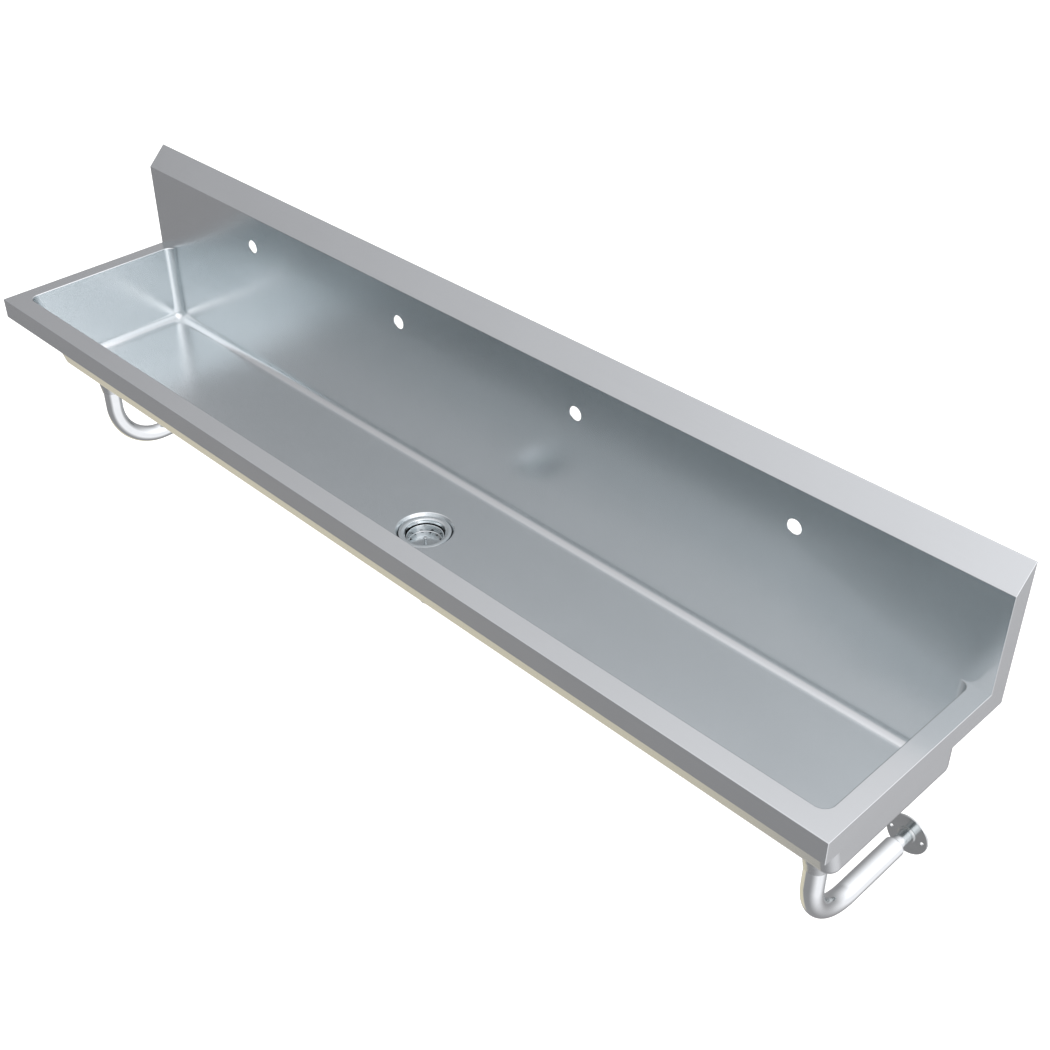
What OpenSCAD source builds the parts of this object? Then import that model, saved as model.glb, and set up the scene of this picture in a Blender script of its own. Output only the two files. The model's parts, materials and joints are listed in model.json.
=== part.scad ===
// Wall-hung trough sink: a long coved bowl in a folded rim, a high splash with
// a sloping top and tap holes, a basket waste, and two bent-tube wall brackets.
// Millimetres. Origin on the wall plane, at mid length and rim height.
// +X runs along the sink, +Y points to the wall, +Z is up.
// Left and right are as seen by a person standing at the sink.

/* [Sheet metal] */
// Overall length along the wall
sink_length = 2438.4; // [2000:0.1:3000]
// Depth from the wall to the front apron
sink_depth = 502.5; // [470:0.5:620]
// Thickness of the stainless sheet
sheet = 2; // [1.5:0.1:2.5]
// Width of the front rim
front_rim = 48; // [30:0.5:70]
// Width of each end rim
end_rim = 38.8; // [30:0.1:60]
// Height of the front and end aprons
apron_height = 48.9; // [35:0.1:80]
// Width of the hem folded in under the aprons
hem_width = 12; // [6:0.5:18]
// Depth of the bowl below the rim
bowl_depth = 203.2; // [160:0.1:260]
// Inside radius of the coves and corners of the bowl
cove_radius = 22; // [12:0.5:28]
// Lean of the front wall of the bowl, in degrees from upright
front_lean = 16; // [0:0.5:20]

/* [Splash] */
// Distance of the splash face from the wall
splash_gap = 48.8; // [40:0.1:60]
// Height of the upright splash face above the rim
splash_face_height = 207.3; // [190:0.1:280]
// Rise of the sloping band on top of the splash
splash_band_rise = 45.7; // [35:0.1:60]
// Height of the turn-down behind the sloping band
turn_down = 30; // [20:0.5:34]
// Number of tap holes
tap_count = 4; // [1:1:4]
// Distance between neighbouring tap holes
tap_pitch = 533.4; // [200:0.1:600]
// Height of the tap holes above the rim
tap_height = 127; // [80:0.5:140]
// Diameter of a tap hole
tap_hole = 31.75; // [22:0.05:38]

/* [Wall fixing] */
// Distance of each end of the hanger rail from the end of the sink
rail_inset = 119.2; // [40:0.1:400]
// Height of the flat of the hanger rail below its hook
rail_flat = 68; // [50:1:75]
// Height of the hook of the hanger rail
rail_hook = 15; // [8:0.5:18]
// Gap between the hook and the turn-down
rail_gap = 0.3; // [0.2:0.05:1]
// Number of screw holes in the hanger rail
rail_hole_count = 6; // [2:1:6]
// Distance of the end screw holes from the ends of the hanger rail
rail_hole_inset = 100; // [20:1:300]
// Diameter of a screw hole in the hanger rail
rail_hole = 8; // [5:0.5:10]
// Height of the channel behind the splash joint
joint_channel_height = 50; // [36:1:60]
// Width of the feet of the channel behind the splash joint
joint_channel_foot = 14; // [8:0.5:20]
// Distance of that channel's ends from the straight of the bowl
joint_channel_inset = 10; // [4:1:60]

/* [Waste] */
// Distance of the waste from the splash face
waste_from_splash = 178; // [150:1:200]
// Radius of the recess at the bowl floor
recess_radius = 63.4; // [61:0.1:70]
// Radius of the flat foot of the recess
recess_foot_radius = 58.2; // [58:0.1:60]
// Depth of the recess
recess_depth = 8.5; // [6:0.1:12]
// Radius of the flange of the strainer
flange_radius = 57.15; // [54:0.05:57.5]
// Thickness of the seal under the flange
seal_thickness = 1.5; // [1:0.1:2.5]
// Outside radius of the threaded body of the strainer
body_radius = 44.45; // [44:0.05:45]
// Radius of the mouth of the strainer
mouth_radius = 43; // [41.5:0.1:43.2]
// Inside radius of the strainer below the basket ledge
throat_radius = 39.6; // [39.5:0.05:40.4]
// Depth of the ledge for the basket below the bowl floor
ledge_depth = 17; // [14:0.1:18]
// Depth of the strainer's floor below the bowl floor
cup_depth = 58.8; // [56:0.1:70]
// Radius of the seat of the stopper
seat_radius = 17; // [15:0.1:18]
// Outside radius of the threaded outlet
outlet_radius = 23.8; // [23:0.1:25]
// Length of the threaded outlet
outlet_length = 25; // [20:0.5:40]

/* [Basket and stopper] */
// Outside radius of the rim of the basket
basket_rim_radius = 40.6; // [40.4:0.1:41.2]
// Thickness of the sheet of the basket
basket_sheet = 0.8; // [0.6:0.05:1]
// Gap between the wall of the basket and the throat
basket_gap = 0.4; // [0.3:0.05:0.8]
// Depth of the inside of the basket below its seat
basket_depth = 15.3; // [13:0.1:18]
// Radius of the rounded foot of the basket
basket_corner = 3.2; // [2:0.1:3.3]
// Number of drain holes in the basket
basket_hole_count = 12; // [6:1:16]
// Radius of the circle of drain holes
basket_hole_circle = 33.6; // [20:0.1:33.7]
// Radius of a drain hole
basket_hole_radius = 2.2; // [1.5:0.1:2.5]
// Radius of the stem of the stopper
stem_radius = 3; // [2.5:0.1:4]
// Height of the knob above the floor of the basket
knob_height = 12; // [9:0.5:16]
// Radius of the knob
knob_radius = 4.5; // [4.2:0.1:7]
// Thickness of the knob
knob_thickness = 3.5; // [2:0.1:5]
// Radius of the rubber of the stopper
stopper_radius = 21; // [19:0.1:24]
// Thickness of the rubber of the stopper
stopper_thickness = 5.5; // [4:0.1:7]
// Travel of the stopper from open to shut
stopper_travel = 7; // [4:0.1:9]

/* [Tailpiece] */
// Outside radius of the tailpiece
tailpiece_radius = 19.05; // [18:0.05:19.5]
// Wall of the tailpiece
tailpiece_wall = 1.2; // [0.8:0.1:2]
// Length of the tailpiece
tailpiece_length = 102; // [60:1:150]

/* [Brackets] */
// Distance of each bracket from the end of the sink
bracket_inset = 111.9; // [104:0.1:400]
// Distance of the leg of a bracket from the wall
leg_from_wall = 325; // [260:0.1:340]
// Depth of the level run of a bracket below the rim
bracket_drop = 459.5; // [440:0.5:560]
// Outside diameter of the bracket tube
tube_diameter = 42.16; // [38:0.01:44]
// Wall of the bracket tube
tube_wall = 1.6; // [1.2:0.1:2.5]
// Bend radius of the tube's centre line
bend_radius = 125; // [80:1:130]
// Distance of the end of the tube from the wall
tube_end_gap = 48; // [40:0.5:60]
// Height of the channel that carries a bracket
bearer_height = 25; // [18:0.5:35]
// Width of the web of that channel
bearer_width = 78; // [74:1:100]
// Width of the feet of that channel
bearer_foot = 15; // [10:0.5:20]
// Depth of the socket below its flange
socket_depth = 52.5; // [46:0.5:70]
// Radius of the flange of the socket
socket_flange_radius = 35; // [32:0.5:37]
// Radius of the mouth of the socket
socket_mouth_radius = 22.9; // [22.5:0.1:24]
// Radius of the socket's shoulder, where it starts to narrow
socket_shoulder_radius = 26.4; // [25:0.1:27]
// Radius of the root of the socket
socket_root_radius = 28; // [27:0.1:30]
// Radius of a socket screw
screw_radius = 3; // [2.5:0.1:4]
// Radius of the screwed stem of a foot
stem_foot_radius = 13.5; // [10:0.1:14.5]
// Length of the stem inside the tube at rest
stem_engagement = 26; // [20:0.5:32]
// Radius of the wall flange
wall_flange_radius = 44.5; // [38:0.5:50]
// Thickness of the wall flange
wall_flange_thickness = 4; // [3:0.1:6]
// Distance between the two holes of the wall flange
wall_hole_pitch = 66.7; // [58:0.1:70]
// Radius of a hole in the wall flange
wall_hole_radius = 3.75; // [2.5:0.05:4.5]

/* [Hidden] */

// Faces on a full circle and on each quarter cove
$fn = 72;
cove_steps = 8;
// Overrun of every cut
over = 1;
// Radial gap of a turning or sliding fit
running_gap = 0.05;
// Radial gap of a fixed fit
fixed_gap = 0.02;
// Gap between a round tip and the round face it stops at
tip_gap = 0.3;

// Bowl and rim
half_length = sink_length / 2;
cap_inside = half_length - sheet;
bowl_half = half_length - end_rim;
splash_face_y = -splash_gap;
splash_back_y = splash_face_y + sheet;
front_y = -sink_depth;
bowl_front_y = front_y + front_rim;
floor_z = -bowl_depth;
floor_under_z = floor_z - sheet;
cove_z = floor_z + cove_radius;
corner_x = bowl_half - cove_radius;
wall_rise = -sheet - cove_z;
corner_front_y = bowl_front_y + (cove_radius + wall_rise * sin(front_lean)) / cos(front_lean);
corner_top_y = corner_front_y - wall_rise * tan(front_lean);
corner_back_y = splash_face_y - cove_radius;

// Splash section
splash_height = splash_face_height + splash_band_rise;
band_slope = atan2(splash_band_rise, splash_gap);
band_turn = (90 - band_slope) / 2;
crest_turn = (90 + band_slope) / 2;
turn_down_z = splash_height - turn_down;

// Hanger rail and joint channel
hook_front_y = -2 * sheet - rail_gap;
rail_step_z = turn_down_z - sheet;
rail_low_z = turn_down_z - rail_flat - sheet;
rail_length = sink_length - 2 * rail_inset;
rail_hole_pitch = (rail_length - 2 * rail_hole_inset) / (rail_hole_count - 1);
rail_hole_z = (rail_low_z + rail_step_z) / 2;
joint_half = joint_channel_height / 2;
joint_channel_length = 2 * (corner_x - joint_channel_inset);

// Waste levels, from the bowl floor down
waste_y = splash_face_y - waste_from_splash;
recess_z = floor_z - recess_depth;
recess_under_z = recess_z - sheet;
waste_hole_gap = 1.05;
waste_hole_radius = body_radius + waste_hole_gap;
flange_under_z = recess_z + seal_thickness;
flange_edge = 1;
flange_crown = 2.3;
flange_crest_radius = 51;
bevel_radius = 45;
ledge_z = floor_z - ledge_depth;
mouth_height = 4.4;
bevel_foot_z = ledge_z + mouth_height;
cup_z = floor_z - cup_depth;
cup_floor = 3;
body_thread_length = 36;
cup_wall = 3;
outlet_bore = 19.2;
outlet_end_z = cup_z - cup_floor - outlet_length;
gasket_thickness = 3;
gasket_radius = 57;
friction_thickness = 1;
friction_radius = 56;
nut_height = 12;
nut_radius = 52;
nut_lug_count = 8;
nut_lug_width = 12;
nut_lug_reach = 57;
gasket_low_z = recess_under_z - gasket_thickness;
friction_low_z = gasket_low_z - friction_thickness;

// Basket and stopper levels
rim_thickness = 1.2;
basket_outer = throat_radius - basket_gap;
basket_inner = basket_outer - basket_sheet;
basket_floor_z = ledge_z - basket_depth;
basket_under_z = basket_floor_z - basket_sheet;
guide_radius = 5;
guide_length = 6.5;
knob_top_z = basket_floor_z + knob_height;
seal_low_z = cup_z + stopper_travel + tip_gap;
seal_high_z = seal_low_z + stopper_thickness;
stopper_plate_thickness = 1.2;
stopper_plate_radius = 17;
stopper_nut_radius = 5;
stopper_nut_height = 3.2;
stem_stub = 1;

// Tailpiece levels
washer_thickness = 2;
tail_flange_thickness = 1.2;
tail_flange_radius = 23;
tail_flange_z = outlet_end_z - washer_thickness;
coupling_radius = 29;
coupling_wall_top = 18;
coupling_lip = 2.8;
coupling_low_z = tail_flange_z - tail_flange_thickness - coupling_lip;
tail_collar_swell = 0.35;
tail_collar_reach = 1;
tail_collar_radius = tailpiece_radius + tail_collar_swell;
tail_collar_z = coupling_low_z - tail_collar_reach;
coupling_grip_count = 12;
coupling_grip_radius = 2.5;

// Bracket places
bracket_x = half_length - bracket_inset;
leg_y = -leg_from_wall;
run_z = -bracket_drop;
tube_radius = tube_diameter / 2;
tube_bore = tube_radius - tube_wall;
bend_y = leg_y + bend_radius;
bend_z = run_z + bend_radius;
tube_end_y = -tube_end_gap;
bearer_z = floor_under_z - bearer_height;
bearer_half = bearer_width / 2;
bearer_front_y = corner_front_y + bearer_foot;
bearer_back_y = corner_back_y - bearer_foot;
socket_flange = 3;
socket_roof = 7;
socket_low_z = bearer_z - socket_flange - socket_depth;
socket_bore_z = bearer_z - socket_flange - socket_roof;
socket_shoulder = 22;
socket_lip = 1.5;
tube_top_z = socket_bore_z - sheet;
screw_rise = 26;
screw_z = socket_low_z + screw_rise;
screw_length = 5;
screw_socket_radius = 1.5;
screw_socket_depth = 2.5;
insert_length = 30;
insert_lip = 2.5;
insert_lip_y = tube_end_y + insert_lip;
stem_end_y = insert_lip_y - stem_engagement;
stem_chamfer = 1.5;
collar_radius = 18;
collar_length = 3.5;
wall_flange_y = -wall_flange_thickness;

// Shared shapes

// Arc of a cove between two angles, about its axis
function cove_arc(axis, radius, from, to) = [
    for (i = [0 : cove_steps])
        let (a = from + (to - from) * i / cove_steps)
        [axis + radius * cos(a), cove_z + radius * sin(a)]
];

// Section of an end wall from its top to the floor, with the axis of the cove at x = 0
module cove_section() {
    polygon(concat(
        [[cove_radius, -sheet]],
        cove_arc(0, cove_radius, 0, -90),
        cove_arc(0, cove_radius + sheet, -90, 0),
        [[cove_radius + sheet, -sheet]]
    ));
}

// A section drawn in Y and Z, centred on mid length
module along_sink(run_length) {
    translate([-run_length / 2, 0, 0]) rotate([90, 0, 90]) linear_extrude(run_length) children();
}

module ring(outer, inner, low, high) {
    translate([0, 0, low]) linear_extrude(high - low) difference() {
        circle(outer);
        circle(inner);
    }
}

module at_waste() {
    translate([0, waste_y, 0]) children();
}

// Draws a right-hand piece on the right, or its mirror image on the left
module on_side(side) {
    if (side > 0) children();
    else mirror([1, 0, 0]) children();
}

// Level axis of a bracket, turned so that +Z of the child points to the wall
module at_run() {
    translate([bracket_x, 0, run_z]) rotate([-90, 0, 0]) children();
}

// Sheet metal

// Front wall, floor and rear wall in one bent sheet, in Y and Z
module pan_section() {
    polygon(concat(
        [[bowl_front_y, -sheet]],
        cove_arc(corner_front_y, cove_radius, 180 + front_lean, 270),
        cove_arc(corner_back_y, cove_radius, 270, 360),
        [[splash_face_y, 0], [splash_back_y, 0]],
        cove_arc(corner_back_y, cove_radius + sheet, 360, 270),
        cove_arc(corner_front_y, cove_radius + sheet, 270, 180 + front_lean),
        [[bowl_front_y - sheet / cos(front_lean), -sheet]]
    ));
}

module bowl_pan() {
    color("silver") difference() {
        union() {
            along_sink(2 * corner_x) pan_section();
            at_waste() translate([0, 0, recess_under_z])
                cylinder(floor_under_z - recess_under_z, recess_foot_radius + sheet, recess_radius + sheet);
        }
        at_waste() translate([0, 0, recess_z])
            cylinder(recess_depth, recess_foot_radius, recess_radius);
        at_waste() translate([0, 0, recess_under_z - over])
            cylinder(recess_depth + sheet + 2 * over, waste_hole_radius, waste_hole_radius);
    }
}

// Corner between an end wall and the leaning front wall, as nets of points on both faces
// of the sheet. A net holds the top edge, then the arcs that fan out from the end wall.
function corner_net(radius) = concat(
    [[radius, 0, -sheet]],
    [
        for (i = [0 : cove_steps])
            let (a = 90 * i / cove_steps)
            let (climb = (wall_rise + radius * sin(a) * sin(front_lean)) / cos(front_lean))
            let (reach = radius * sin(a) * cos(front_lean) + climb * sin(front_lean))
            [radius * cos(a), -reach, -sheet]
    ],
    [[radius, 0, cove_z]],
    [
        for (j = [0 : cove_steps])
            for (i = [1 : cove_steps])
                let (a = 90 * i / cove_steps)
                let (b = (90 - front_lean) * j / cove_steps)
                [radius * cos(a), -radius * sin(a) * sin(b), cove_z - radius * sin(a) * cos(b)]
    ]
);
net_pole = cove_steps + 2;
function net_point(i, j) = i == 0 ? net_pole : net_pole + j * cove_steps + i;
net_faces = concat(
    [[0, 1, net_pole]],
    [
        for (j = [0 : cove_steps - 1])
            for (i = [0 : cove_steps - 1])
                [net_point(i, j), net_point(i + 1, j + 1), net_point(i + 1, j)]
    ],
    [
        for (j = [0 : cove_steps - 1])
            for (i = [1 : cove_steps - 1])
                [net_point(i, j), net_point(i, j + 1), net_point(i + 1, j + 1)]
    ],
    [for (i = [0 : cove_steps - 1]) [net_point(i, cove_steps), i + 2, net_point(i + 1, cove_steps)]],
    [for (i = [0 : cove_steps - 1]) [net_point(i, cove_steps), i + 1, i + 2]]
);
net_border = concat(
    [0, net_pole],
    [for (i = [1 : cove_steps]) net_point(i, 0)],
    [for (j = [1 : cove_steps]) net_point(cove_steps, j)],
    [for (i = [0 : cove_steps]) cove_steps + 1 - i]
);

module front_corner() {
    inside = corner_net(cove_radius);
    count = len(inside);
    last = len(net_border) - 1;
    translate([corner_x, corner_front_y, 0]) polyhedron(
        concat(inside, corner_net(cove_radius + sheet)),
        concat(
            net_faces,
            [for (f = net_faces) [f[0] + count, f[2] + count, f[1] + count]],
            [
                for (k = [0 : last])
                    let (here = net_border[k], next = net_border[k == last ? 0 : k + 1])
                    [here, next, next + count, here + count]
            ]
        )
    );
}

module bowl_end(side) {
    run = corner_back_y - corner_front_y;
    color("silver") on_side(side) {
        translate([corner_x, corner_back_y, 0])
            rotate([90, 0, 0]) linear_extrude(run) cove_section();
        translate([corner_x, corner_back_y, 0])
            rotate_extrude(angle = 90) cove_section();
        front_corner();
    }
}

module bowl_opening() {
    opening = corner_net(cove_radius);
    translate([-corner_x, bowl_front_y]) square([2 * corner_x, splash_back_y - bowl_front_y + over]);
    for (side = [-1, 1]) on_side(side) {
        translate([corner_x - over, corner_top_y]) square([cove_radius + over, corner_back_y - corner_top_y]);
        translate([corner_x, corner_back_y]) circle(cove_radius);
        translate([corner_x, corner_front_y])
            polygon([[0, 0], for (i = [0 : cove_steps]) [opening[i + 1][0], opening[i + 1][1]]]);
    }
}

module rim_frame() {
    inner_y = front_y + sheet;
    color("silver") union() {
        translate([0, 0, -sheet]) linear_extrude(sheet) difference() {
            union() {
                translate([-half_length, front_y]) square([sink_length, splash_face_y - front_y]);
                translate([-cap_inside, splash_face_y]) square([2 * cap_inside, sheet]);
            }
            bowl_opening();
        }
        translate([-half_length, front_y, -apron_height]) cube([sink_length, sheet, apron_height - sheet]);
        translate([-cap_inside, inner_y, -apron_height]) cube([2 * cap_inside, hem_width, sheet]);
        for (side = [-1, 1]) on_side(side) {
            translate([cap_inside, inner_y, -apron_height])
                cube([sheet, splash_face_y - inner_y, apron_height - sheet]);
            translate([cap_inside - hem_width, inner_y + hem_width, -apron_height])
                cube([hem_width, splash_face_y - inner_y - hem_width, sheet]);
        }
    }
}

module backsplash() {
    color("silver") difference() {
        along_sink(2 * cap_inside) polygon([
            [splash_face_y, 0],
            [splash_face_y, splash_face_height],
            [0, splash_height],
            [0, turn_down_z],
            [-sheet, turn_down_z],
            [-sheet, splash_height - sheet * tan(crest_turn)],
            [splash_back_y, splash_face_height - sheet * tan(band_turn)],
            [splash_back_y, 0]
        ]);
        for (i = [0 : tap_count - 1])
            translate([(i - (tap_count - 1) / 2) * tap_pitch, splash_face_y - over, tap_height])
                rotate([-90, 0, 0]) cylinder(sheet + 2 * over, tap_hole / 2, tap_hole / 2);
    }
}

module splash_cap(side) {
    color("silver") on_side(side) translate([cap_inside, 0, 0])
        rotate([90, 0, 90]) linear_extrude(sheet) polygon([
            [splash_face_y, -apron_height],
            [0, -apron_height],
            [0, splash_height],
            [splash_face_y, splash_face_height]
        ]);
}

// Hat channel behind the joint of splash and bowl, with its web flat on the wall
module joint_channel() {
    foot_top = joint_half + joint_channel_foot;
    color("gainsboro") along_sink(joint_channel_length) difference() {
        union() {
            translate([splash_back_y, -joint_half]) square([-splash_back_y, joint_channel_height]);
            translate([splash_back_y, -foot_top]) square([sheet, 2 * foot_top]);
        }
        translate([splash_back_y - over, -joint_half + sheet])
            square([-splash_back_y - sheet + over, joint_channel_height - 2 * sheet]);
    }
}

// Strip screwed to the wall, whose hook holds the turn-down of the splash
module wall_hanger_rail() {
    color("gainsboro") difference() {
        along_sink(rail_length) polygon([
            [0, rail_low_z],
            [0, turn_down_z],
            [-sheet - rail_gap, turn_down_z],
            [-sheet - rail_gap, turn_down_z + rail_hook],
            [hook_front_y, turn_down_z + rail_hook],
            [hook_front_y, rail_step_z],
            [-sheet, rail_step_z],
            [-sheet, rail_low_z]
        ]);
        for (i = [0 : rail_hole_count - 1])
            translate([(i - (rail_hole_count - 1) / 2) * rail_hole_pitch, -sheet - over, rail_hole_z])
                rotate([-90, 0, 0]) cylinder(sheet + 2 * over, rail_hole / 2, rail_hole / 2);
    }
}

// Hat channel under the bowl floor that carries a bracket
module bearer_channel(side) {
    run = bearer_back_y - bearer_front_y;
    foot_half = bearer_half + bearer_foot;
    color("gainsboro") on_side(side) translate([bracket_x, bearer_back_y, 0])
        rotate([90, 0, 0]) linear_extrude(run) difference() {
            union() {
                translate([-bearer_half, bearer_z]) square([bearer_width, bearer_height]);
                translate([-foot_half, floor_under_z - sheet]) square([2 * foot_half, sheet]);
            }
            translate([-bearer_half + sheet, bearer_z + sheet])
                square([bearer_width - 2 * sheet, bearer_height]);
        }
}

// Brackets

module leg_socket(side) {
    bore = tube_radius + running_gap;
    color("lightgray") on_side(side) translate([bracket_x, leg_y, 0]) difference() {
        rotate_extrude() polygon([
            [0, bearer_z],
            [socket_flange_radius, bearer_z],
            [socket_flange_radius, bearer_z - socket_flange],
            [socket_root_radius, bearer_z - socket_flange],
            [socket_shoulder_radius, socket_low_z + socket_shoulder],
            [socket_mouth_radius, socket_low_z + socket_lip],
            [socket_mouth_radius, socket_low_z],
            [bore, socket_low_z],
            [bore, socket_bore_z],
            [0, socket_bore_z]
        ]);
        translate([0, 0, screw_z]) rotate([-90, 0, 0])
            cylinder(socket_root_radius + over, screw_radius + fixed_gap, screw_radius + fixed_gap);
    }
}

module socket_screw() {
    translate([bracket_x, leg_y + tube_radius + tip_gap, screw_z]) rotate([-90, 0, 0]) difference() {
        cylinder(screw_length, screw_radius, screw_radius);
        translate([0, 0, screw_length - screw_socket_depth])
            cylinder(screw_socket_depth + over, screw_socket_radius, screw_socket_radius, $fn = 6);
    }
}

module socket_screws() {
    color("dimgray") for (side = [-1, 1]) on_side(side) socket_screw();
}

module tube_section() {
    difference() {
        circle(tube_radius);
        circle(tube_bore);
    }
}

module bracket_tube(side) {
    color("whitesmoke") on_side(side) {
        translate([bracket_x, leg_y, bend_z]) linear_extrude(tube_top_z - bend_z) tube_section();
        translate([bracket_x, bend_y, bend_z]) rotate([-90, 0, -90])
            rotate_extrude(angle = 90) translate([bend_radius, 0]) tube_section();
        translate([bracket_x, bend_y, run_z]) rotate([-90, 0, 0])
            linear_extrude(tube_end_y - bend_y) tube_section();
    }
}

// Bush pressed into the end of the tube, with a lip over the tube's edge
module tube_insert(side) {
    bore = stem_foot_radius + running_gap;
    color("silver") on_side(side) at_run() {
        ring(tube_bore - fixed_gap, bore, tube_end_y - insert_length, tube_end_y);
        ring(tube_radius, bore, tube_end_y, insert_lip_y);
    }
}

module foot_stem(side) {
    color("whitesmoke") on_side(side) at_run() rotate_extrude() polygon([
        [0, stem_end_y],
        [stem_foot_radius - stem_chamfer, stem_end_y],
        [stem_foot_radius, stem_end_y + stem_chamfer],
        [stem_foot_radius, wall_flange_y],
        [0, wall_flange_y]
    ]);
}

module wall_flange(side) {
    color("silver") on_side(side) at_run() {
        translate([0, 0, wall_flange_y]) linear_extrude(wall_flange_thickness) difference() {
            circle(wall_flange_radius);
            for (x = [-wall_hole_pitch / 2, wall_hole_pitch / 2])
                translate([x, 0]) circle(wall_hole_radius);
        }
        ring(collar_radius, stem_foot_radius + running_gap, wall_flange_y - collar_length, wall_flange_y);
    }
}

// Waste

module strainer_body() {
    color("whitesmoke") at_waste() rotate_extrude() polygon([
        [seat_radius, cup_z],
        [throat_radius, cup_z],
        [throat_radius, ledge_z],
        [mouth_radius, ledge_z],
        [mouth_radius, bevel_foot_z],
        [bevel_radius, flange_under_z + flange_crown - flange_edge / 2],
        [flange_crest_radius, flange_under_z + flange_crown],
        [flange_radius, flange_under_z + flange_edge],
        [flange_radius, flange_under_z],
        [body_radius, flange_under_z],
        [body_radius, flange_under_z - body_thread_length],
        [throat_radius + cup_wall, flange_under_z - body_thread_length],
        [throat_radius + cup_wall, cup_z - cup_floor],
        [seat_radius, cup_z - cup_floor]
    ]);
}

// Threaded spud brazed under the strainer's floor
module strainer_outlet() {
    color("whitesmoke") at_waste()
        ring(outlet_radius, outlet_bore, outlet_end_z, cup_z - cup_floor);
}

module flange_seal() {
    color("dimgray") at_waste()
        ring(flange_radius - flange_edge, waste_hole_radius, recess_z, flange_under_z);
}

module rubber_gasket() {
    color("black") at_waste()
        ring(gasket_radius, body_radius + fixed_gap, gasket_low_z, recess_under_z);
}

module friction_washer() {
    color("tan") at_waste()
        ring(friction_radius, body_radius + fixed_gap, friction_low_z, gasket_low_z);
}

module lock_nut() {
    color("goldenrod") at_waste() translate([0, 0, friction_low_z - nut_height])
        linear_extrude(nut_height) difference() {
            union() {
                circle(nut_radius);
                for (i = [0 : nut_lug_count - 1])
                    rotate(360 * i / nut_lug_count)
                        translate([0, -nut_lug_width / 2]) square([nut_lug_reach, nut_lug_width]);
            }
            circle(body_radius + fixed_gap);
        }
}

function basket_arc(radius, from, to) = [
    for (i = [0 : cove_steps])
        let (a = from + (to - from) * i / cove_steps)
        [basket_outer - basket_corner + radius * cos(a), basket_under_z + basket_corner + radius * sin(a)]
];

module basket() {
    inner_corner = basket_corner - basket_sheet;
    guide_bore = stem_radius + running_gap;
    color("silver") at_waste() difference() {
        rotate_extrude() polygon(concat(
            [
                [0, basket_under_z - guide_length],
                [guide_radius, basket_under_z - guide_length],
                [guide_radius, basket_under_z]
            ],
            basket_arc(basket_corner, -90, 0),
            [
                [basket_outer, ledge_z],
                [basket_rim_radius, ledge_z],
                [basket_rim_radius, ledge_z + rim_thickness],
                [basket_inner, ledge_z + rim_thickness]
            ],
            basket_arc(inner_corner, 0, -90),
            [[0, basket_floor_z]]
        ));
        for (i = [0 : basket_hole_count - 1])
            rotate(360 * i / basket_hole_count)
                translate([basket_hole_circle, 0, basket_under_z - over])
                    cylinder(basket_sheet + 2 * over, basket_hole_radius, basket_hole_radius);
        translate([0, 0, basket_under_z - guide_length - over])
            cylinder(guide_length + basket_sheet + 2 * over, guide_bore, guide_bore);
    }
}

module stopper_post() {
    crown = knob_thickness / 3;
    color("whitesmoke") at_waste() rotate_extrude() polygon([
        [0, seal_low_z - stopper_nut_height - stem_stub],
        [stem_radius, seal_low_z - stopper_nut_height - stem_stub],
        [stem_radius, knob_top_z - knob_thickness],
        [knob_radius, knob_top_z - knob_thickness],
        [knob_radius, knob_top_z - crown],
        [knob_radius - crown, knob_top_z],
        [0, knob_top_z]
    ]);
}

module stopper_plate() {
    plate_top_z = seal_high_z + stopper_plate_thickness;
    color("silver") at_waste()
        ring(stopper_plate_radius, stem_radius + fixed_gap, seal_high_z, plate_top_z);
}

module stopper_seal() {
    color("black") at_waste()
        ring(stopper_radius, stem_radius + fixed_gap, seal_low_z, seal_high_z);
}

module stopper_nut() {
    color("silver") at_waste() translate([0, 0, seal_low_z - stopper_nut_height]) difference() {
        cylinder(stopper_nut_height, stopper_nut_radius, stopper_nut_radius, $fn = 6);
        translate([0, 0, -over])
            cylinder(stopper_nut_height + 2 * over, stem_radius + fixed_gap, stem_radius + fixed_gap);
    }
}

// Tailpiece

module tailpiece_washer() {
    color("black") at_waste() ring(tail_flange_radius, outlet_bore, tail_flange_z, outlet_end_z);
}

// Tube with a flange at its top and a collar under it, which the nut's lip runs on
module tailpiece() {
    bore = tailpiece_radius - tailpiece_wall;
    flange_low_z = tail_flange_z - tail_flange_thickness;
    color("whitesmoke") at_waste() {
        ring(tail_flange_radius, bore, flange_low_z, tail_flange_z);
        ring(tail_collar_radius, bore, tail_collar_z, flange_low_z);
        ring(tailpiece_radius, bore, tail_flange_z - tailpiece_length, tail_collar_z);
    }
}

module coupling_nut() {
    shoulder_z = coupling_low_z + coupling_lip;
    top_z = outlet_end_z + coupling_wall_top;
    color("silver") at_waste() difference() {
        translate([0, 0, coupling_low_z])
            cylinder(top_z - coupling_low_z, coupling_radius, coupling_radius);
        translate([0, 0, shoulder_z])
            cylinder(top_z - shoulder_z + over, outlet_radius + fixed_gap, outlet_radius + fixed_gap);
        translate([0, 0, coupling_low_z - over])
            cylinder(coupling_lip + 2 * over, tail_collar_radius + fixed_gap, tail_collar_radius + fixed_gap);
        for (i = [0 : coupling_grip_count - 1])
            rotate(360 * (i + 1 / 2) / coupling_grip_count)
                translate([coupling_radius + coupling_grip_radius / 2, 0, coupling_low_z - over])
                    cylinder(top_z - coupling_low_z + 2 * over, coupling_grip_radius, coupling_grip_radius);
    }
}

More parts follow.
